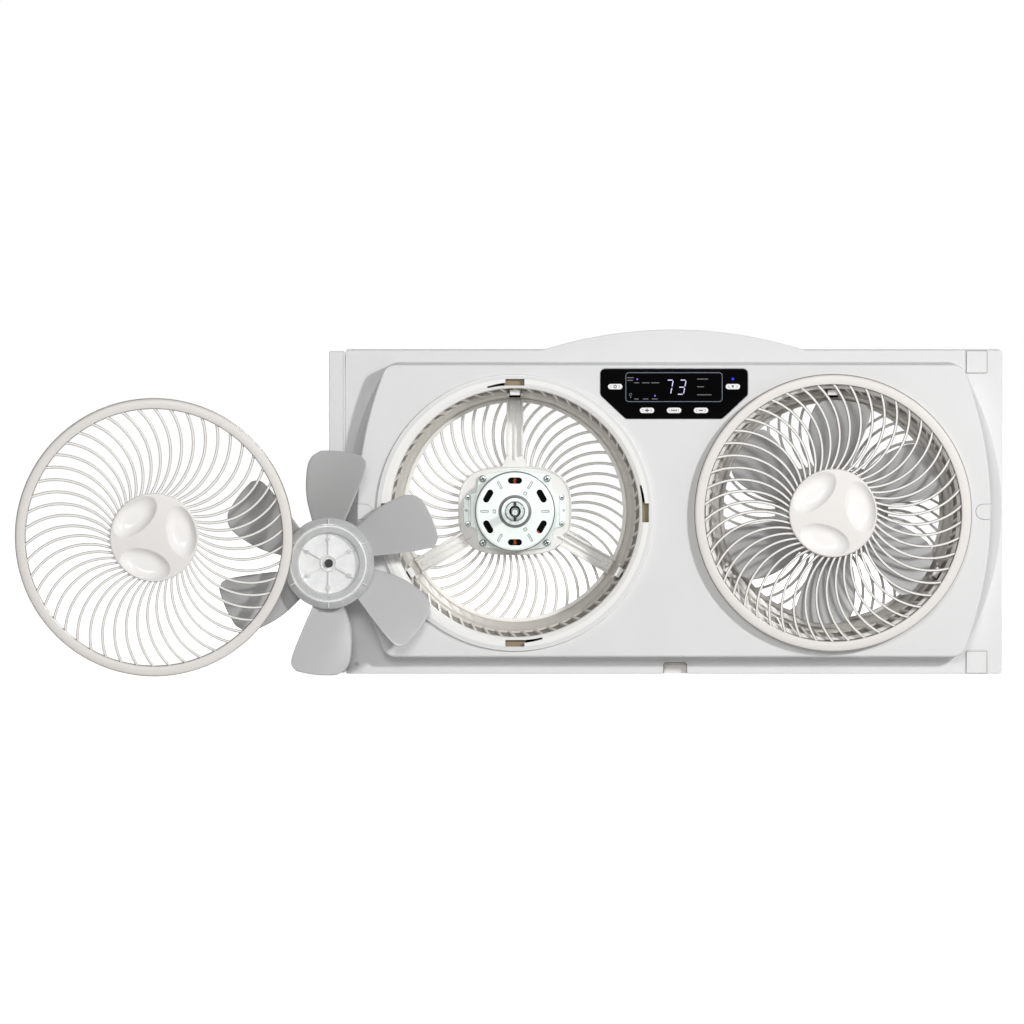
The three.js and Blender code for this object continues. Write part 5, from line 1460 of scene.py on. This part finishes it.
class WINDOWFAN_OT_covers(bpy.types.Operator):
    """Build the pressed zinc-plated covers of both motors"""
    bl_idname = "window_fan.covers"
    bl_label = "Motor covers"

    def execute(self, context):
        sizes = millimetres(context.scene.window_fan_motor)
        front_mesh = self.front_cover(sizes)
        rear_mesh = self.rear_cover(sizes)
        extras = self.side_screws()
        for side in SIDES:
            place = FAN_PLACES[side]
            stand_for(show(f"{side}_motor_can", front_mesh, place), f"{side}_motor_front_cover")
            stand_for(show(f"{side}_motor_back_plate", rear_mesh, place), f"{side}_motor_rear_cover")
            go_with(show(f"{side}_motor_side_screws", extras, place), f"{side}_motor_rear_cover", "steel")
        return {"FINISHED"}

    @staticmethod
    def front_cover(sizes):
        front = CAN.front - 1.6
        back = CAN.back
        radius = sizes.can
        sheet = sizes.sheet
        seat = BEARING.width / 2 + FIT
        boss = sizes.boss
        top = CAN.front
        # rows marked 1 take painted shade: the can's rounded edge and the boss's sloped side
        profile = [(seat, front - 6.5, 0), (seat + 2, front - 6.5, 0), (seat + 2, front - sheet, 0),
                   (radius - sheet, front - sheet, 0), (radius - sheet, back, 0), (radius, back, 0),
                   (radius, front - 2.4, 1), (radius - 0.3, front - 1.3, 1), (radius - 0.9, front - 0.5, 0),
                   (radius - 2, front - 0.1, 0), (radius - 2.8, front, 0), (boss, front, 1),
                   (boss - 2.6, top - 0.4, 1), (boss - 3.2, top, 0), (seat + 1, top, 0),
                   (seat, top - 0.9, 0)]
        shape = Shape().turned([row[:2] for row in profile], ROUND, tint=[row[2] for row in profile])
        mesh = shape.mesh("motor_can", ["zinc", "zinc_painted_shade"], 35)
        cutter = Shape()
        opening = moved(pill(0, 0, sizes.slot_length, sizes.slot_width), sizes.slot_radius, 0, math.pi / 2)
        # the slots' walls take painted shade
        slot = Shape().plate(opening, front - sheet - 2, front + 3, 0, tint=1)
        cutter.copies(sizes.slots, slot, math.pi / 2)
        mesh = carve(mesh, cutter.mesh("can_slots", ["zinc", "zinc_painted_shade"]), 35)

        extra = Shape()
        ear_line = lobes([(radius + 0.4, radius + 0.4, -1), (EAR_REACH, EAR_REACH, 0)], corner=7)
        extra.plate(ear_line, back, back + sheet, 0.4, holes=[circle(radius - sheet, 96)])
        mark = ridge(Shape(), pill(31, 0, 9.2, 2.9, 6), front, STAMPED, STAMPED_SHADE_TINTS)
        extra.copies(6, mark)
        stamp = ridge(Shape(), rectangle(19.2, 23, -2.1, 2.1, 0.6, 3), front, STAMPED, STAMPED_SHADE_TINTS)
        extra.copies(3, stamp, math.pi / 3)
        return merged(mesh, extra.mesh("can_ears", ["zinc", "zinc_painted_shade"], 35), 35)

    @staticmethod
    def rear_cover(sizes):
        front, back = REAR_COVER.front, REAR_COVER.back
        plate_back = front - 1.9
        outline = lobes([(sizes.can + 1, sizes.can + 1, -1), (REAR_COVER.width / 2, 18, 0),
                         (EAR_REACH, EAR_REACH, 0)], corner=7)
        cup = REAR_COVER_CUP
        slits = [pill(side * 49.6, 0, 2.6, 2.6, 6) for side in (-1, 1)]
        shape = Shape().plate(outline, plate_back, front, 0.4, holes=[circle(cup - 1.6, 96), *slits])
        shape.turned(rounded([(0, back, 0), (10, back, 0.6), (11, back + 1.2, 0.6),
                              (cup - 4, back + 1.2, 1.4), (cup, back + 3.5, 2.5), (cup, front, 0),
                              (cup - 1.6, front, 0),
                              (cup - 1.6, back + 3.2, 1), (0, back + 3.2, 0)], 3, closed=False), 96,
                     closed=False)
        for side in (-1, 1):
            step = rectangle(side * 46.4 - 1.1, side * 46.4 + 1.1, -17, 17, 1, 4)
            shape.plate(step, front - 0.3, front + 0.9, 0.5)
        return shape.mesh("motor_back_plate", ["zinc", "zinc_painted_shade"], 35)

    @staticmethod
    def side_screws():
        shape = Shape()
        for x in (-48, 48):
            for y in (-13.5, 13.5):
                screw_head(shape, x, y, REAR_COVER.front, REAR_COVER.front + 1.7, 2.6)
        return shape.mesh("side_screws", ["steel", "painted_deep_shade", "zinc_painted_shade"], 35)


def screw_head(shape, u, v, low, top, radius):
    """A low domed screw head; its rounded rim and a near-black cross on its top are painted shade."""
    shape.turned([(0, low), (radius, low), (radius, top - 0.7), (radius * 0.82, top - 0.15),
                  (radius * 0.5, top), (0, top)], 32, closed=False, tint=[0, 2, 2, 0, 0], u=u, v=v)
    arm = radius * 0.62
    width = radius * 0.13
    for angle in (0.5, 0.5 + math.pi / 2):
        cross = moved(rectangle(-arm, arm, -width, width), u, v, angle)
        shape.plate(cross, top - 0.3, top + 0.02, 0, tint=1)


def upright_rod(stations, facets=24):
    """A round bar across the shaft, at the drive pin's level, from its (v, radius) stations."""
    turns = [2 * math.pi * i / facets for i in range(facets)]
    rings = [[(radius * math.cos(a), v, PIN_LEVEL + radius * math.sin(a)) for a in turns]
             for v, radius in stations]
    return Shape().skin(rings, cap=True)


class WINDOWFAN_OT_drives(bpy.types.Operator):
    """Build the windings, bearings, shafts, drive pins and screws of both motors"""
    bl_idname = "window_fan.drives"
    bl_label = "Motor drives"

    def execute(self, context):
        bearing = self.bearing()
        shaft = self.shaft()
        pin = self.pin()
        screw = Shape()
        screw_head(screw, 0, 0, SCREW.front - 2.2, SCREW.front - 0.02, 3.5)
        screw.turned([(0, SCREW.back), (1.5, SCREW.back), (1.5, SCREW.front - 2), (0, SCREW.front - 2)], 16,
                     closed=False)
        screw = screw.mesh("motor_screw", ["steel", "painted_deep_shade", "zinc_painted_shade"], 35)
        winding = self.winding()
        for side in SIDES:
            place = FAN_PLACES[side]
            stand_for(show(f"{side}_front_bearing_races", bearing, place), f"{side}_front_bearing")
            stand_for(show(f"{side}_shaft_turned", shaft, place), f"{side}_shaft")
            stand_for(show(f"{side}_drive_pin_rod", pin, place), f"{side}_drive_pin")
            stand_for(show(f"{side}_winding_coils", winding, place, weighted=False), f"{side}_winding")
            for name, (x, y) in SCREW_CORNERS.items():
                spot = (place[0] + x * SCREW_STEP, place[1] + y * SCREW_STEP, 0)
                stand_for(show(f"{side}_{name}_screw", screw, spot), f"{side}_motor_screw_{name}")
            for node in ("stator", "rotor", "rear_bearing"):
                dress(f"{side}_{node}", "steel")
        return {"FINISHED"}

    @staticmethod
    def bearing():
        inner, outer = 4.35, BEARING.width / 2
        low, high = BEARING.back, BEARING.front
        shape = Shape()
        shape.turned(rounded([(outer - 2, low, 0.2), (outer, low, 0.4), (outer, high, 0.4),
                              (outer - 1.6, high, 0.2)], 3), 72)
        # the inner race is near black, painted shade round the shaft
        shape.turned(rounded([(inner, low, 0.2), (inner + 1.6, low, 0.2), (inner + 1.6, high, 0.2),
                              (inner, high, 0.3)], 3), 72, tint=2)
        shape.turned([(inner + 1.5, low + 0.4), (outer - 1.9, low + 0.4), (outer - 1.5, high - 0.5),
                      (inner + 1.5, high - 0.5)], 72, tint=1)
        return shape.mesh("bearing", ["steel", "steel", "painted_deep_shade"], 35)

    @staticmethod
    def shaft():
        radius = 4.0
        low, high = SHAFT.back, SHAFT.front
        shape = Shape().turned([(0, low), (radius - 0.5, low), (radius, low + 0.5), (radius, high - 1.2),
                                (radius - 1.2, high), (0.9, high), (0, high - 0.9)], 64, closed=False)
        mesh = shape.mesh("shaft", ["steel"], 30)
        hole = upright_rod(((-6, 1.7), (6, 1.7)))
        return carve(mesh, hole.mesh("pin_hole", ["steel"]), 30)

    @staticmethod
    def pin():
        half = PIN.height / 2
        rod = upright_rod(((-half, 1.1), (-half + 0.4, 1.5), (half - 0.4, 1.5), (half, 1.1)))
        return rod.mesh("drive_pin", ["dark_steel"], 30)

    @staticmethod
    def winding():
        """Six coil ends in front of and behind the core, with the legs between them, and a near-black sheet
        of painted shade before them with gaps where the copper shows.
        """
        shape = Shape()
        turns = 96
        middle, wide = COIL_MIDDLE, COIL_HALF
        for low, high in COIL_LEVELS:
            rings = []
            for i in range(turns):
                angle = 2 * math.pi * i / turns
                swell = 1 - 0.34 * abs(math.sin(3 * angle)) ** 6
                outer = wide if low > 0 else wide - 5.5
                section = []
                for j in range(12):
                    a = 2 * math.pi * j / 12
                    r = middle + (outer if math.cos(a) > 0 else wide) * math.cos(a) * swell
                    w = (low + high) / 2 + (high - low) / 2 * math.sin(a) * swell
                    section.append((r * math.cos(angle), r * math.sin(angle), w))
                rings.append(section)
            shape.skin(rings, loop=True)
        leg = Shape().block(27.2, 32.8, -2.4, 2.4, -13.5, 7.5, 0.4)
        shape.copies(6, leg, math.pi / 6)
        for (this, half), (following, reach) in zip(SHADE_SHEET_GAPS, SHADE_SHEET_GAPS[1:]):
            first, last = (this + half) * DEG, (following - reach) * DEG
            steps = max(4, round((last - first) * 14))
            shade_sheet = arc(0, 0, 36.6, first, last, steps) + arc(0, 0, 25.4, last, first, steps)
            shape.plate(shade_sheet, 10.6, 11, 0, tint=1)
        return shape.mesh("winding", ["copper", "painted_deep_shade"], 50)


# -------- impellers

# a blade's outline: share of its length, then its left and its right edge as shares of the chord
BLADE_EDGES = ((0, -0.57, 0.53), (0.4, -0.77, 0.9), (0.8, -0.73, 1.23), (0.94, -0.55, 1.26),
               (1, -0.27, 1.1))
BLADE_CHORD = 30.0
BLADE_MIDDLE = (7.0, 40.0)     # u of the blade's middle line and w of its middle plane
BLADE_SLOPES = (0.7, 0.34)
BLADE_CAMBER = 3.0


def eased(knots, t):
    """A smooth curve through (position, value) knots."""
    for i in range(len(knots) - 1):
        (t0, y0), (t1, y1) = knots[i], knots[i + 1]
        if t <= t1 or i == len(knots) - 2:
            before = knots[i - 1] if i else knots[i]
            after = knots[i + 2] if i + 2 < len(knots) else knots[i + 1]
            m0 = (y1 - before[1]) / max(t1 - before[0], 1e-6)
            m1 = (after[1] - y0) / max(after[0] - t0, 1e-6)
            h = t1 - t0
            s = (t - t0) / h
            return ((2 * s ** 3 - 3 * s * s + 1) * y0 + (s ** 3 - 2 * s * s + s) * h * m0
                    + (3 * s * s - 2 * s ** 3) * y1 + (s ** 3 - s * s) * h * m1)
    return knots[-1][1]


def blade_shape(sizes):
    """One blade, standing up from the hub, with rounded edges."""
    root = sizes.hub - 1.4
    left = [(s, a) for s, a, _ in BLADE_EDGES]
    right = [(s, b) for s, _, b in BLADE_EDGES]
    rows, columns = 30, 18
    front, back = [], []
    for i in range(rows + 1):
        share = 1 - (1 - i / rows) ** 1.5
        radius = root + (sizes.tip - root) * share
        slope = BLADE_SLOPES[0] + (BLADE_SLOPES[1] - BLADE_SLOPES[0]) * share
        a, b = eased(left, share), eased(right, share)
        upper, lower = [], []
        for j in range(columns + 1):
            t = (1 - math.cos(math.pi * j / columns)) / 2
            x = BLADE_CHORD * (a + (b - a) * t)
            y = math.sqrt(max(radius * radius - x * x, 0))
            across = (x - BLADE_MIDDLE[0]) / BLADE_CHORD
            w = BLADE_MIDDLE[1] + slope * (x - BLADE_MIDDLE[0]) - BLADE_CAMBER * (1 - across * across)
            edge = min(t, 1 - t) * (b - a) * BLADE_CHORD
            tip = (1 - share) * (sizes.tip - root)
            thin = min(1, math.sqrt(max(min(edge, tip) / 0.9, 0.02)))
            half = sizes.thickness / 2 * thin
            upper.append((x, y, w + half))
            lower.append((x, y, w - half))
        front.append(upper)
        back.append(lower)
    rings = [f + list(reversed(b)) for f, b in zip(front, back)]
    return Shape().skin(rings, cap=True)


class WINDOWFAN_OT_impellers(bpy.types.Operator):
    """Build both impellers: milky hubs and grey blades"""
    bl_idname = "window_fan.impellers"
    bl_label = "Impellers"

    def execute(self, context):
        sizes = millimetres(context.scene.window_fan_impeller)
        blades = Shape().copies(sizes.blades, blade_shape(sizes))
        blades = blades.mesh("blades", ["blade"], 50)
        hub = self.hub(sizes)
        for side in SIDES:
            node = f"{side}_impeller"
            stand_for(show(f"{side}_impeller_blades", blades, IMPELLER_PLACES[side], weighted=False), node)
            stand_for(show(f"{side}_impeller_hub", hub, IMPELLER_PLACES[side]), node)
        return {"FINISHED"}

    @staticmethod
    def hub(sizes):
        front, back = IMPELLER.front, IMPELLER.back
        floor = front - sizes.recess_depth
        wall = 2.3
        hub, recess, bore = sizes.hub, sizes.recess, sizes.bore
        shape = Shape().turned(rounded([
            (bore, back + 0.8, 0.3), (12, back + 0.8, 0.5), (11, floor - wall, 0.8),
            (hub - wall, floor - wall, 2), (hub - wall, back, 0.3), (hub, back, 0.3),
            (hub, front - 7, 2.5), (hub - 6.2, front - 0.6, 2.5), (hub - 7.4, front - 0.6, 0.4),
            (hub - 8.2, front - 1.4, 0.4), (hub - 9, front, 0.6),
            (recess + 1, front, 0.8), (recess, front - 1, 0.5), (recess - 0.6, floor, 0.8),
            (bore + 4.6, floor, 0.6), (bore + 4.2, floor + 1.6, 0.5), (bore + 2.6, floor + 1.6, 0.4),
            (bore + 2.2, floor + 0.6, 0.3), (bore, floor + 0.6, 0.2)], 4), ROUND)
        rib = Shape()
        rib.plate(rectangle(bore + 4, recess, -0.7, 0.7, 0.3, 2), floor - 1, floor + 2.2, 0.3)
        # the ribs take the lighter tone as a painted highlight
        for start, end, low, high in ((recess + 0.4, hub - 9.5, front - 1, front - 0.02),
                                      (hub - 7, hub - 1.6, front - 4.2, front - 0.3)):
            rib.plate(rectangle(start, end, -0.45, 0.45, 0.2, 2), low, high, 0.15, tint=1)
        shape.copies(6, rib, math.pi / 6)
        post = Shape().turned(rounded([(1.1, floor - 0.5, 0), (2.2, floor - 0.5, 0), (2, floor + 3.4, 0.6),
                                       (1, floor + 3.4, 0.3)], 3), 28, u=24.5)
        shape.copies(6, post, math.pi / 6)
        # a black disc inside the bore, painted shade of its depth
        shape.turned([(0, front - 2.6), (bore - 0.1, front - 2.6), (bore - 0.1, floor + 0.4),
                      (0, floor + 0.4)], 48, closed=False, tint=2)
        # the recess floor takes the lighter tone, and a ring near the rim takes it as a painted highlight
        for number, face in enumerate(shape.faces):
            x, y, w = shape.middle(face)
            radius = math.hypot(x, y)
            clear = radius < recess or hub - 9.6 < radius < hub - 7.6
            if not shape.tints[number] and clear and w > floor - 0.5:
                shape.tints[number] = 1
        return shape.mesh("hub", ["hub", "hub_floor_and_highlight", "black"], 35)


# -------- controls

BUTTON_NODES = ("power_button", "mode_button", "plus_button", "set_button", "minus_button")
BUTTON_CAP = (14.8, 5.6)
BUTTON_SKIRT = (17, 7.8)
SKIRT_BACK, SKIRT_FRONT = 60.7, 62.45
LAMP_HOLE = 1.5
CAPTION_HIGH = 0.9
CAPTIONS = (                   # left end, level and length of each small caption
    (-47.8, 302.6, 7), (-47.8, 299.9, 6), (-40.7, 297.4, 5.4), (-32.5, 297.4, 7.6),
    (-23.3, 297.4, 8.4), (23.3, 301.2, 11.6), (23.3, 293.4, 7.3), (23.3, 285.2, 14.9),
    (-40.7, 280.9, 4.9), (-31.8, 280.9, 5.8), (-22.7, 280.9, 6.2),
)
BULB = (-44.2, 285.4)
LIT_DOTS = ((-37.5, 301), (-19.4, 284.2))
DIGITS = ((-5.3, "abc"), (7.8, "abgcd"))       # middle and lit segments of the seven and the three
DIGIT_SLANT = 0.19
SEGMENT_GAP = 0.55


class WINDOWFAN_OT_panel(bpy.types.Operator):
    """Build the control panel, its display and its lamp"""
    bl_idname = "window_fan.panel"
    bl_label = "Control panel"

    def execute(self, context):
        sizes = millimetres(context.scene.window_fan_panel)
        window = rectangle(GLASS.left - FIT, GLASS.right + FIT, GLASS.bottom - FIT, GLASS.top + FIT, 4, 6)
        holes = [window]
        for node in BUTTON_NODES:
            span = Span(node)
            holes.append(pill(span.mid_u, span.mid_v, *(side + 2 * FIT for side in BUTTON_CAP), 10))
        lamp = Span("status_led")
        holes.append(circle(LAMP_HOLE + FIT, 24, lamp.mid_u, lamp.mid_v))
        bezel = Shape().plate(panel_line(sizes, 0), BEZEL.back, BEZEL.front, 0.5, holes=holes, steps=3)
        stand_for(show("control_panel", bezel.mesh("control_panel", ["panel"], 35)), "control_bezel")
        glass = Shape().plate(rectangle(GLASS.left, GLASS.right, GLASS.bottom, GLASS.top, 3.7, 6),
                              GLASS.back, GLASS.front, 0.2)
        stand_for(show("window_pane", glass.mesh("window_pane", ["glass"], 35)), "display_window")
        self.window_prints(sizes)
        self.digits(sizes)
        dome = Shape().turned([(0, lamp.back), (1.2, lamp.back), (1.2, lamp.front - 0.5),
                               (1, lamp.front - 0.15), (0.6, lamp.front), (0, lamp.front)], 32,
                              closed=False, u=lamp.mid_u, v=lamp.mid_v)
        stand_for(show("status_lamp", dome.mesh("status_lamp", ["lamp"], 40)), "status_led")
        dress("display_module", "black")
        dress("control_board", "board")
        return {"FINISHED"}

    @staticmethod
    def window_prints(sizes):
        """The line round the window, and plain dashes where small captions would be."""
        face = GLASS.front
        outer = rectangle(GLASS.left + 0.3, GLASS.right - 0.3, GLASS.bottom + 0.3, GLASS.top - 0.3, 3.4, 8)
        line = Shape()
        printed(line, outer, face, [inset(outer, sizes.line)])
        add_detail("window_line", line, ["line"], "display_window")
        dashes = Shape()
        for u, v, wide in CAPTIONS:
            printed(dashes, pill(u + wide / 2, v, wide, CAPTION_HIGH, 3), face)
        printed(dashes, circle(1.45, 24, *BULB), face, [circle(0.95, 24, *BULB)])
        printed(dashes, rectangle(-44.7, -43.7, 282, 283.6, 0.2, 2), face)
        add_detail("window_captions", dashes, ["label"], "display_window")

    @staticmethod
    def digits(sizes):
        """A lit seven and three of slanted segments, and the lit dots."""
        face = GLASS.front
        middle_v = Span("display_module").mid_v
        high, wide, bar = sizes.digit_height / 2, sizes.digit_width / 2, sizes.segment
        segments = {
            "a": (0, high, 1), "g": (0, 0, 1), "d": (0, -high, 1),
            "b": (wide, high / 2, 0), "c": (wide, -high / 2, 0),
        }
        shape = Shape()
        for centre, lit_ones in DIGITS:
            for key in lit_ones:
                u, v, lies = segments[key]
                run = (wide if lies else high / 2) - SEGMENT_GAP
                if lies:
                    line = [(-run, 0), (-run + bar / 2, -bar / 2), (run - bar / 2, -bar / 2), (run, 0),
                            (run - bar / 2, bar / 2), (-run + bar / 2, bar / 2)]
                else:
                    line = [(0, -run), (bar / 2, -run + bar / 2), (bar / 2, run - bar / 2), (0, run),
                            (-bar / 2, run - bar / 2), (-bar / 2, -run + bar / 2)]
                slanted = [(centre + u + x + DIGIT_SLANT * (v + y), middle_v + v + y) for x, y in line]
                printed(shape, slanted, face)
        add_detail("display_digits", shape, ["digits"], "display_window",
                "indicator")
        dots = Shape()
        for u, v in LIT_DOTS:
            printed(dots, circle(0.75, 20, u, v), face, front=0.06)
        add_detail("display_dots", dots, ["dots"], "display_window", "indicator")


class WINDOWFAN_OT_buttons(bpy.types.Operator):
    """Build the five buttons with their symbols"""
    bl_idname = "window_fan.buttons"
    bl_label = "Buttons"

    def execute(self, context):
        sizes = millimetres(context.scene.window_fan_panel)
        for node in BUTTON_NODES:
            span = Span(node)
            shape = Shape()
            shape.plate(pill(0, 0, *BUTTON_CAP, 12), span.back, span.front, 0.45, steps=3)
            shape.plate(pill(0, 0, *BUTTON_SKIRT, 12), SKIRT_BACK, SKIRT_FRONT, 0.2, tint=2)
            for side in (-1, 1):
                line = arc(0, 0, 1.75, -0.95, 0.95, 6) + arc(0, 0, 1.3, 0.95, -0.95, 6)
                line = moved(line, side * 2.9, 0, 0 if side > 0 else math.pi)
                shape.plate(line, span.front - 0.2, span.front + 0.02, 0, tint=1)
            self.symbol(shape, node, span.front, sizes.symbol)
            mesh = shape.mesh(node, ["button", "label", "symbol"], 40)
            stand_for(show(f"{node}_cap", mesh, (span.mid_u, span.mid_v, 0)), node)
        return {"FINISHED"}

    @staticmethod
    def symbol(shape, node, top, line):
        """A plain printed sign for what the button does."""
        def sign(outline, holes=()):
            shape.plate(outline, top - 0.2, top + 0.03, 0, holes=holes, tint=2)

        if node == "power_button":
            sign(circle(1.75, 24), [circle(1.75 - 0.75 * line, 24)])
        elif node == "mode_button":
            sign([(-1.5, 1.3), (0, -1.5), (1.5, 1.3)])
        elif node == "set_button":
            for x in (-2.1, 0, 2.1):
                sign(circle(0.85, 16, x, 0))
        else:
            sign(rectangle(-2.2, 2.2, -line / 2, line / 2))
            if node == "plus_button":
                sign(rectangle(-line / 2, line / 2, -1.7, -line / 2))
                sign(rectangle(-line / 2, line / 2, line / 2, 1.7))


class WINDOWFAN_OT_inner_parts(bpy.types.Operator):
    """Finish the power board and the capacitors inside the housing"""
    bl_idname = "window_fan.inner_parts"
    bl_label = "Inner parts"

    def execute(self, context):
        dress("power_board", "board")
        dress("left_capacitor", "black")
        dress("right_capacitor", "black")
        return {"FINISHED"}


# -------- stage

AIM = (-0.165, -HOUSING.front * MM, 0.165)     # between the housing and the pieces beside it
MIDDLE = (0, 0, 0.165)
FILL_AIM = (-0.16, 0, 0.165)
SENSOR_WIDTH = 36
SIGHT = 60                     # how far the camera sees
FLOOR_REACH = 12
FLOOR_LEVEL = -0.0006
FLOOR_TONE = (0.8, 0.8, 0.8, 1)
FLOOR_LIFT = 0.88              # with the light on it, this brings the floor to white

def seen_rays(tree):
    """1 for rays that come straight from the camera or through gloss or glass."""
    path = fresh(tree, "LightPath")
    total = path.outputs["Is Camera Ray"]
    for name in ("Is Glossy Ray", "Is Transmission Ray"):
        node = fresh(tree, "Math")
        node.operation = "MAXIMUM"
        tree.links.new(total, node.inputs[0])
        tree.links.new(path.outputs[name], node.inputs[1])
        total = node.outputs[0]
    return total


def area_lamp(name, place, aim, size, power):
    lamp = bpy.data.lights.new(name, "AREA")
    lamp.shape = "DISK"
    lamp.size = size
    lamp.energy = power
    holder = bpy.data.objects.new(name, lamp)
    holder.location = place
    holder.rotation_euler = (Vector(aim) - Vector(place)).to_track_quat("-Z", "Y").to_euler()
    bpy.context.scene.collection.objects.link(holder)


class WINDOWFAN_OT_stage(bpy.types.Operator):
    """Set up the camera, the lamps, the sky and the floor"""
    bl_idname = "window_fan.stage"
    bl_label = "Stage"

    def execute(self, context):
        stage = context.scene.window_fan_stage
        camera = bpy.data.cameras.new("camera")
        camera.lens = stage.lens
        camera.sensor_width = SENSOR_WIDTH
        camera.clip_end = SIGHT
        holder = bpy.data.objects.new("camera", camera)
        tilt = stage.elevation
        holder.location = Vector(AIM) + Vector((0, -math.cos(tilt), math.sin(tilt))) * stage.distance
        holder.rotation_euler = (math.pi / 2 - tilt, 0, 0)
        context.scene.collection.objects.link(holder)
        context.scene.camera = holder
        context.scene.view_settings.view_transform = "Standard"
        area_lamp("key_lamp", (2.3, -3.6, 1.5), MIDDLE, 0.4, stage.key)
        area_lamp("fill_lamp", (-0.4, -4.9, 1.4), FILL_AIM, 1.2, stage.fill)
        area_lamp("rear_lamp", (1.6, 3.9, 2.0), MIDDLE, 1.2, stage.rear)
        self.sky(stage.sky)
        self.floor()
        return {"FINISHED"}

    @staticmethod
    def sky(strength):
        world = bpy.data.worlds.new("studio_sky")
        bpy.context.scene.world = world
        tree = emptied(world)
        output = fresh(tree, "OutputWorld")
        mix = fresh(tree, "MixShader")
        glow = fresh(tree, "Background", Color=WHITE, Strength=strength)
        white = fresh(tree, "Background", Color=WHITE, Strength=1)
        tree.links.new(seen_rays(tree), mix.inputs["Fac"])
        tree.links.new(glow.outputs[0], mix.inputs[1])
        tree.links.new(white.outputs[0], mix.inputs[2])
        tree.links.new(mix.outputs[0], output.inputs["Surface"])

    @staticmethod
    def floor():
        material = bpy.data.materials.new("studio_floor")
        tree = emptied(material)
        output = fresh(tree, "OutputMaterial")
        matt = fresh(tree, "BsdfDiffuse", Color=FLOOR_TONE)
        lift = fresh(tree, "Emission", Color=WHITE, Strength=FLOOR_LIFT)
        both = fresh(tree, "AddShader")
        mix = fresh(tree, "MixShader")
        tree.links.new(matt.outputs[0], both.inputs[0])
        tree.links.new(lift.outputs[0], both.inputs[1])
        tree.links.new(seen_rays(tree), mix.inputs["Fac"])
        tree.links.new(matt.outputs[0], mix.inputs[1])
        tree.links.new(both.outputs[0], mix.inputs[2])
        tree.links.new(mix.outputs[0], output.inputs["Surface"])
        mesh = bpy.data.meshes.new("studio_floor")
        corners = ((-1, -1), (1, -1), (1, 1), (-1, 1))
        mesh.from_pydata([(x * FLOOR_REACH, y * FLOOR_REACH, FLOOR_LEVEL) for x, y in corners], [],
                         [(0, 1, 2, 3)])
        mesh.materials.append(material)
        floor = bpy.data.objects.new("studio_floor", mesh)
        bpy.context.scene.collection.objects.link(floor)


# -------- panel, registration, main

OPERATORS = (
    WINDOWFAN_OT_stage,
    WINDOWFAN_OT_housing,
    WINDOWFAN_OT_fascia,
    WINDOWFAN_OT_trims,
    WINDOWFAN_OT_ducts,
    WINDOWFAN_OT_rear_grilles,
    WINDOWFAN_OT_mounts,
    WINDOWFAN_OT_covers,
    WINDOWFAN_OT_drives,
    WINDOWFAN_OT_impellers,
    WINDOWFAN_OT_front_grilles,
    WINDOWFAN_OT_panel,
    WINDOWFAN_OT_buttons,
    WINDOWFAN_OT_inner_parts,
)

SETTINGS = {
    "window_fan_colours": WindowFanColours,
    "window_fan_housing": WindowFanHousing,
    "window_fan_duct": WindowFanDuct,
    "window_fan_grille": WindowFanGrille,
    "window_fan_impeller": WindowFanImpeller,
    "window_fan_motor": WindowFanMotor,
    "window_fan_panel": WindowFanPanel,
    "window_fan_stage": WindowFanStage,
}


class WINDOWFAN_PT_panel(bpy.types.Panel):
    """The window fan's pieces and their settings"""
    bl_idname = "WINDOWFAN_PT_panel"
    bl_label = "Window fan"
    bl_space_type = "VIEW_3D"
    bl_region_type = "UI"
    bl_category = "Window fan"

    def draw(self, context):
        layout = self.layout
        for operator in OPERATORS:
            layout.operator(operator.bl_idname)
        for name, group in SETTINGS.items():
            box = layout.box()
            box.label(text=group.__doc__)
            settings = getattr(context.scene, name)
            for key in group.__annotations__:
                box.prop(settings, key)


def register():
    for group in SETTINGS.values():
        bpy.utils.register_class(group)
    for name, group in SETTINGS.items():
        setattr(bpy.types.Scene, name, PointerProperty(type=group))
    for operator in OPERATORS:
        bpy.utils.register_class(operator)
    bpy.utils.register_class(WINDOWFAN_PT_panel)


def unregister():
    bpy.utils.unregister_class(WINDOWFAN_PT_panel)
    for operator in reversed(OPERATORS):
        bpy.utils.unregister_class(operator)
    for name, group in SETTINGS.items():
        delattr(bpy.types.Scene, name)
        bpy.utils.unregister_class(group)


def main():
    register()
    for operator in OPERATORS:
        family, name = operator.bl_idname.split(".")
        getattr(getattr(bpy.ops, family), name)()


if __name__ == "__main__":
    main()
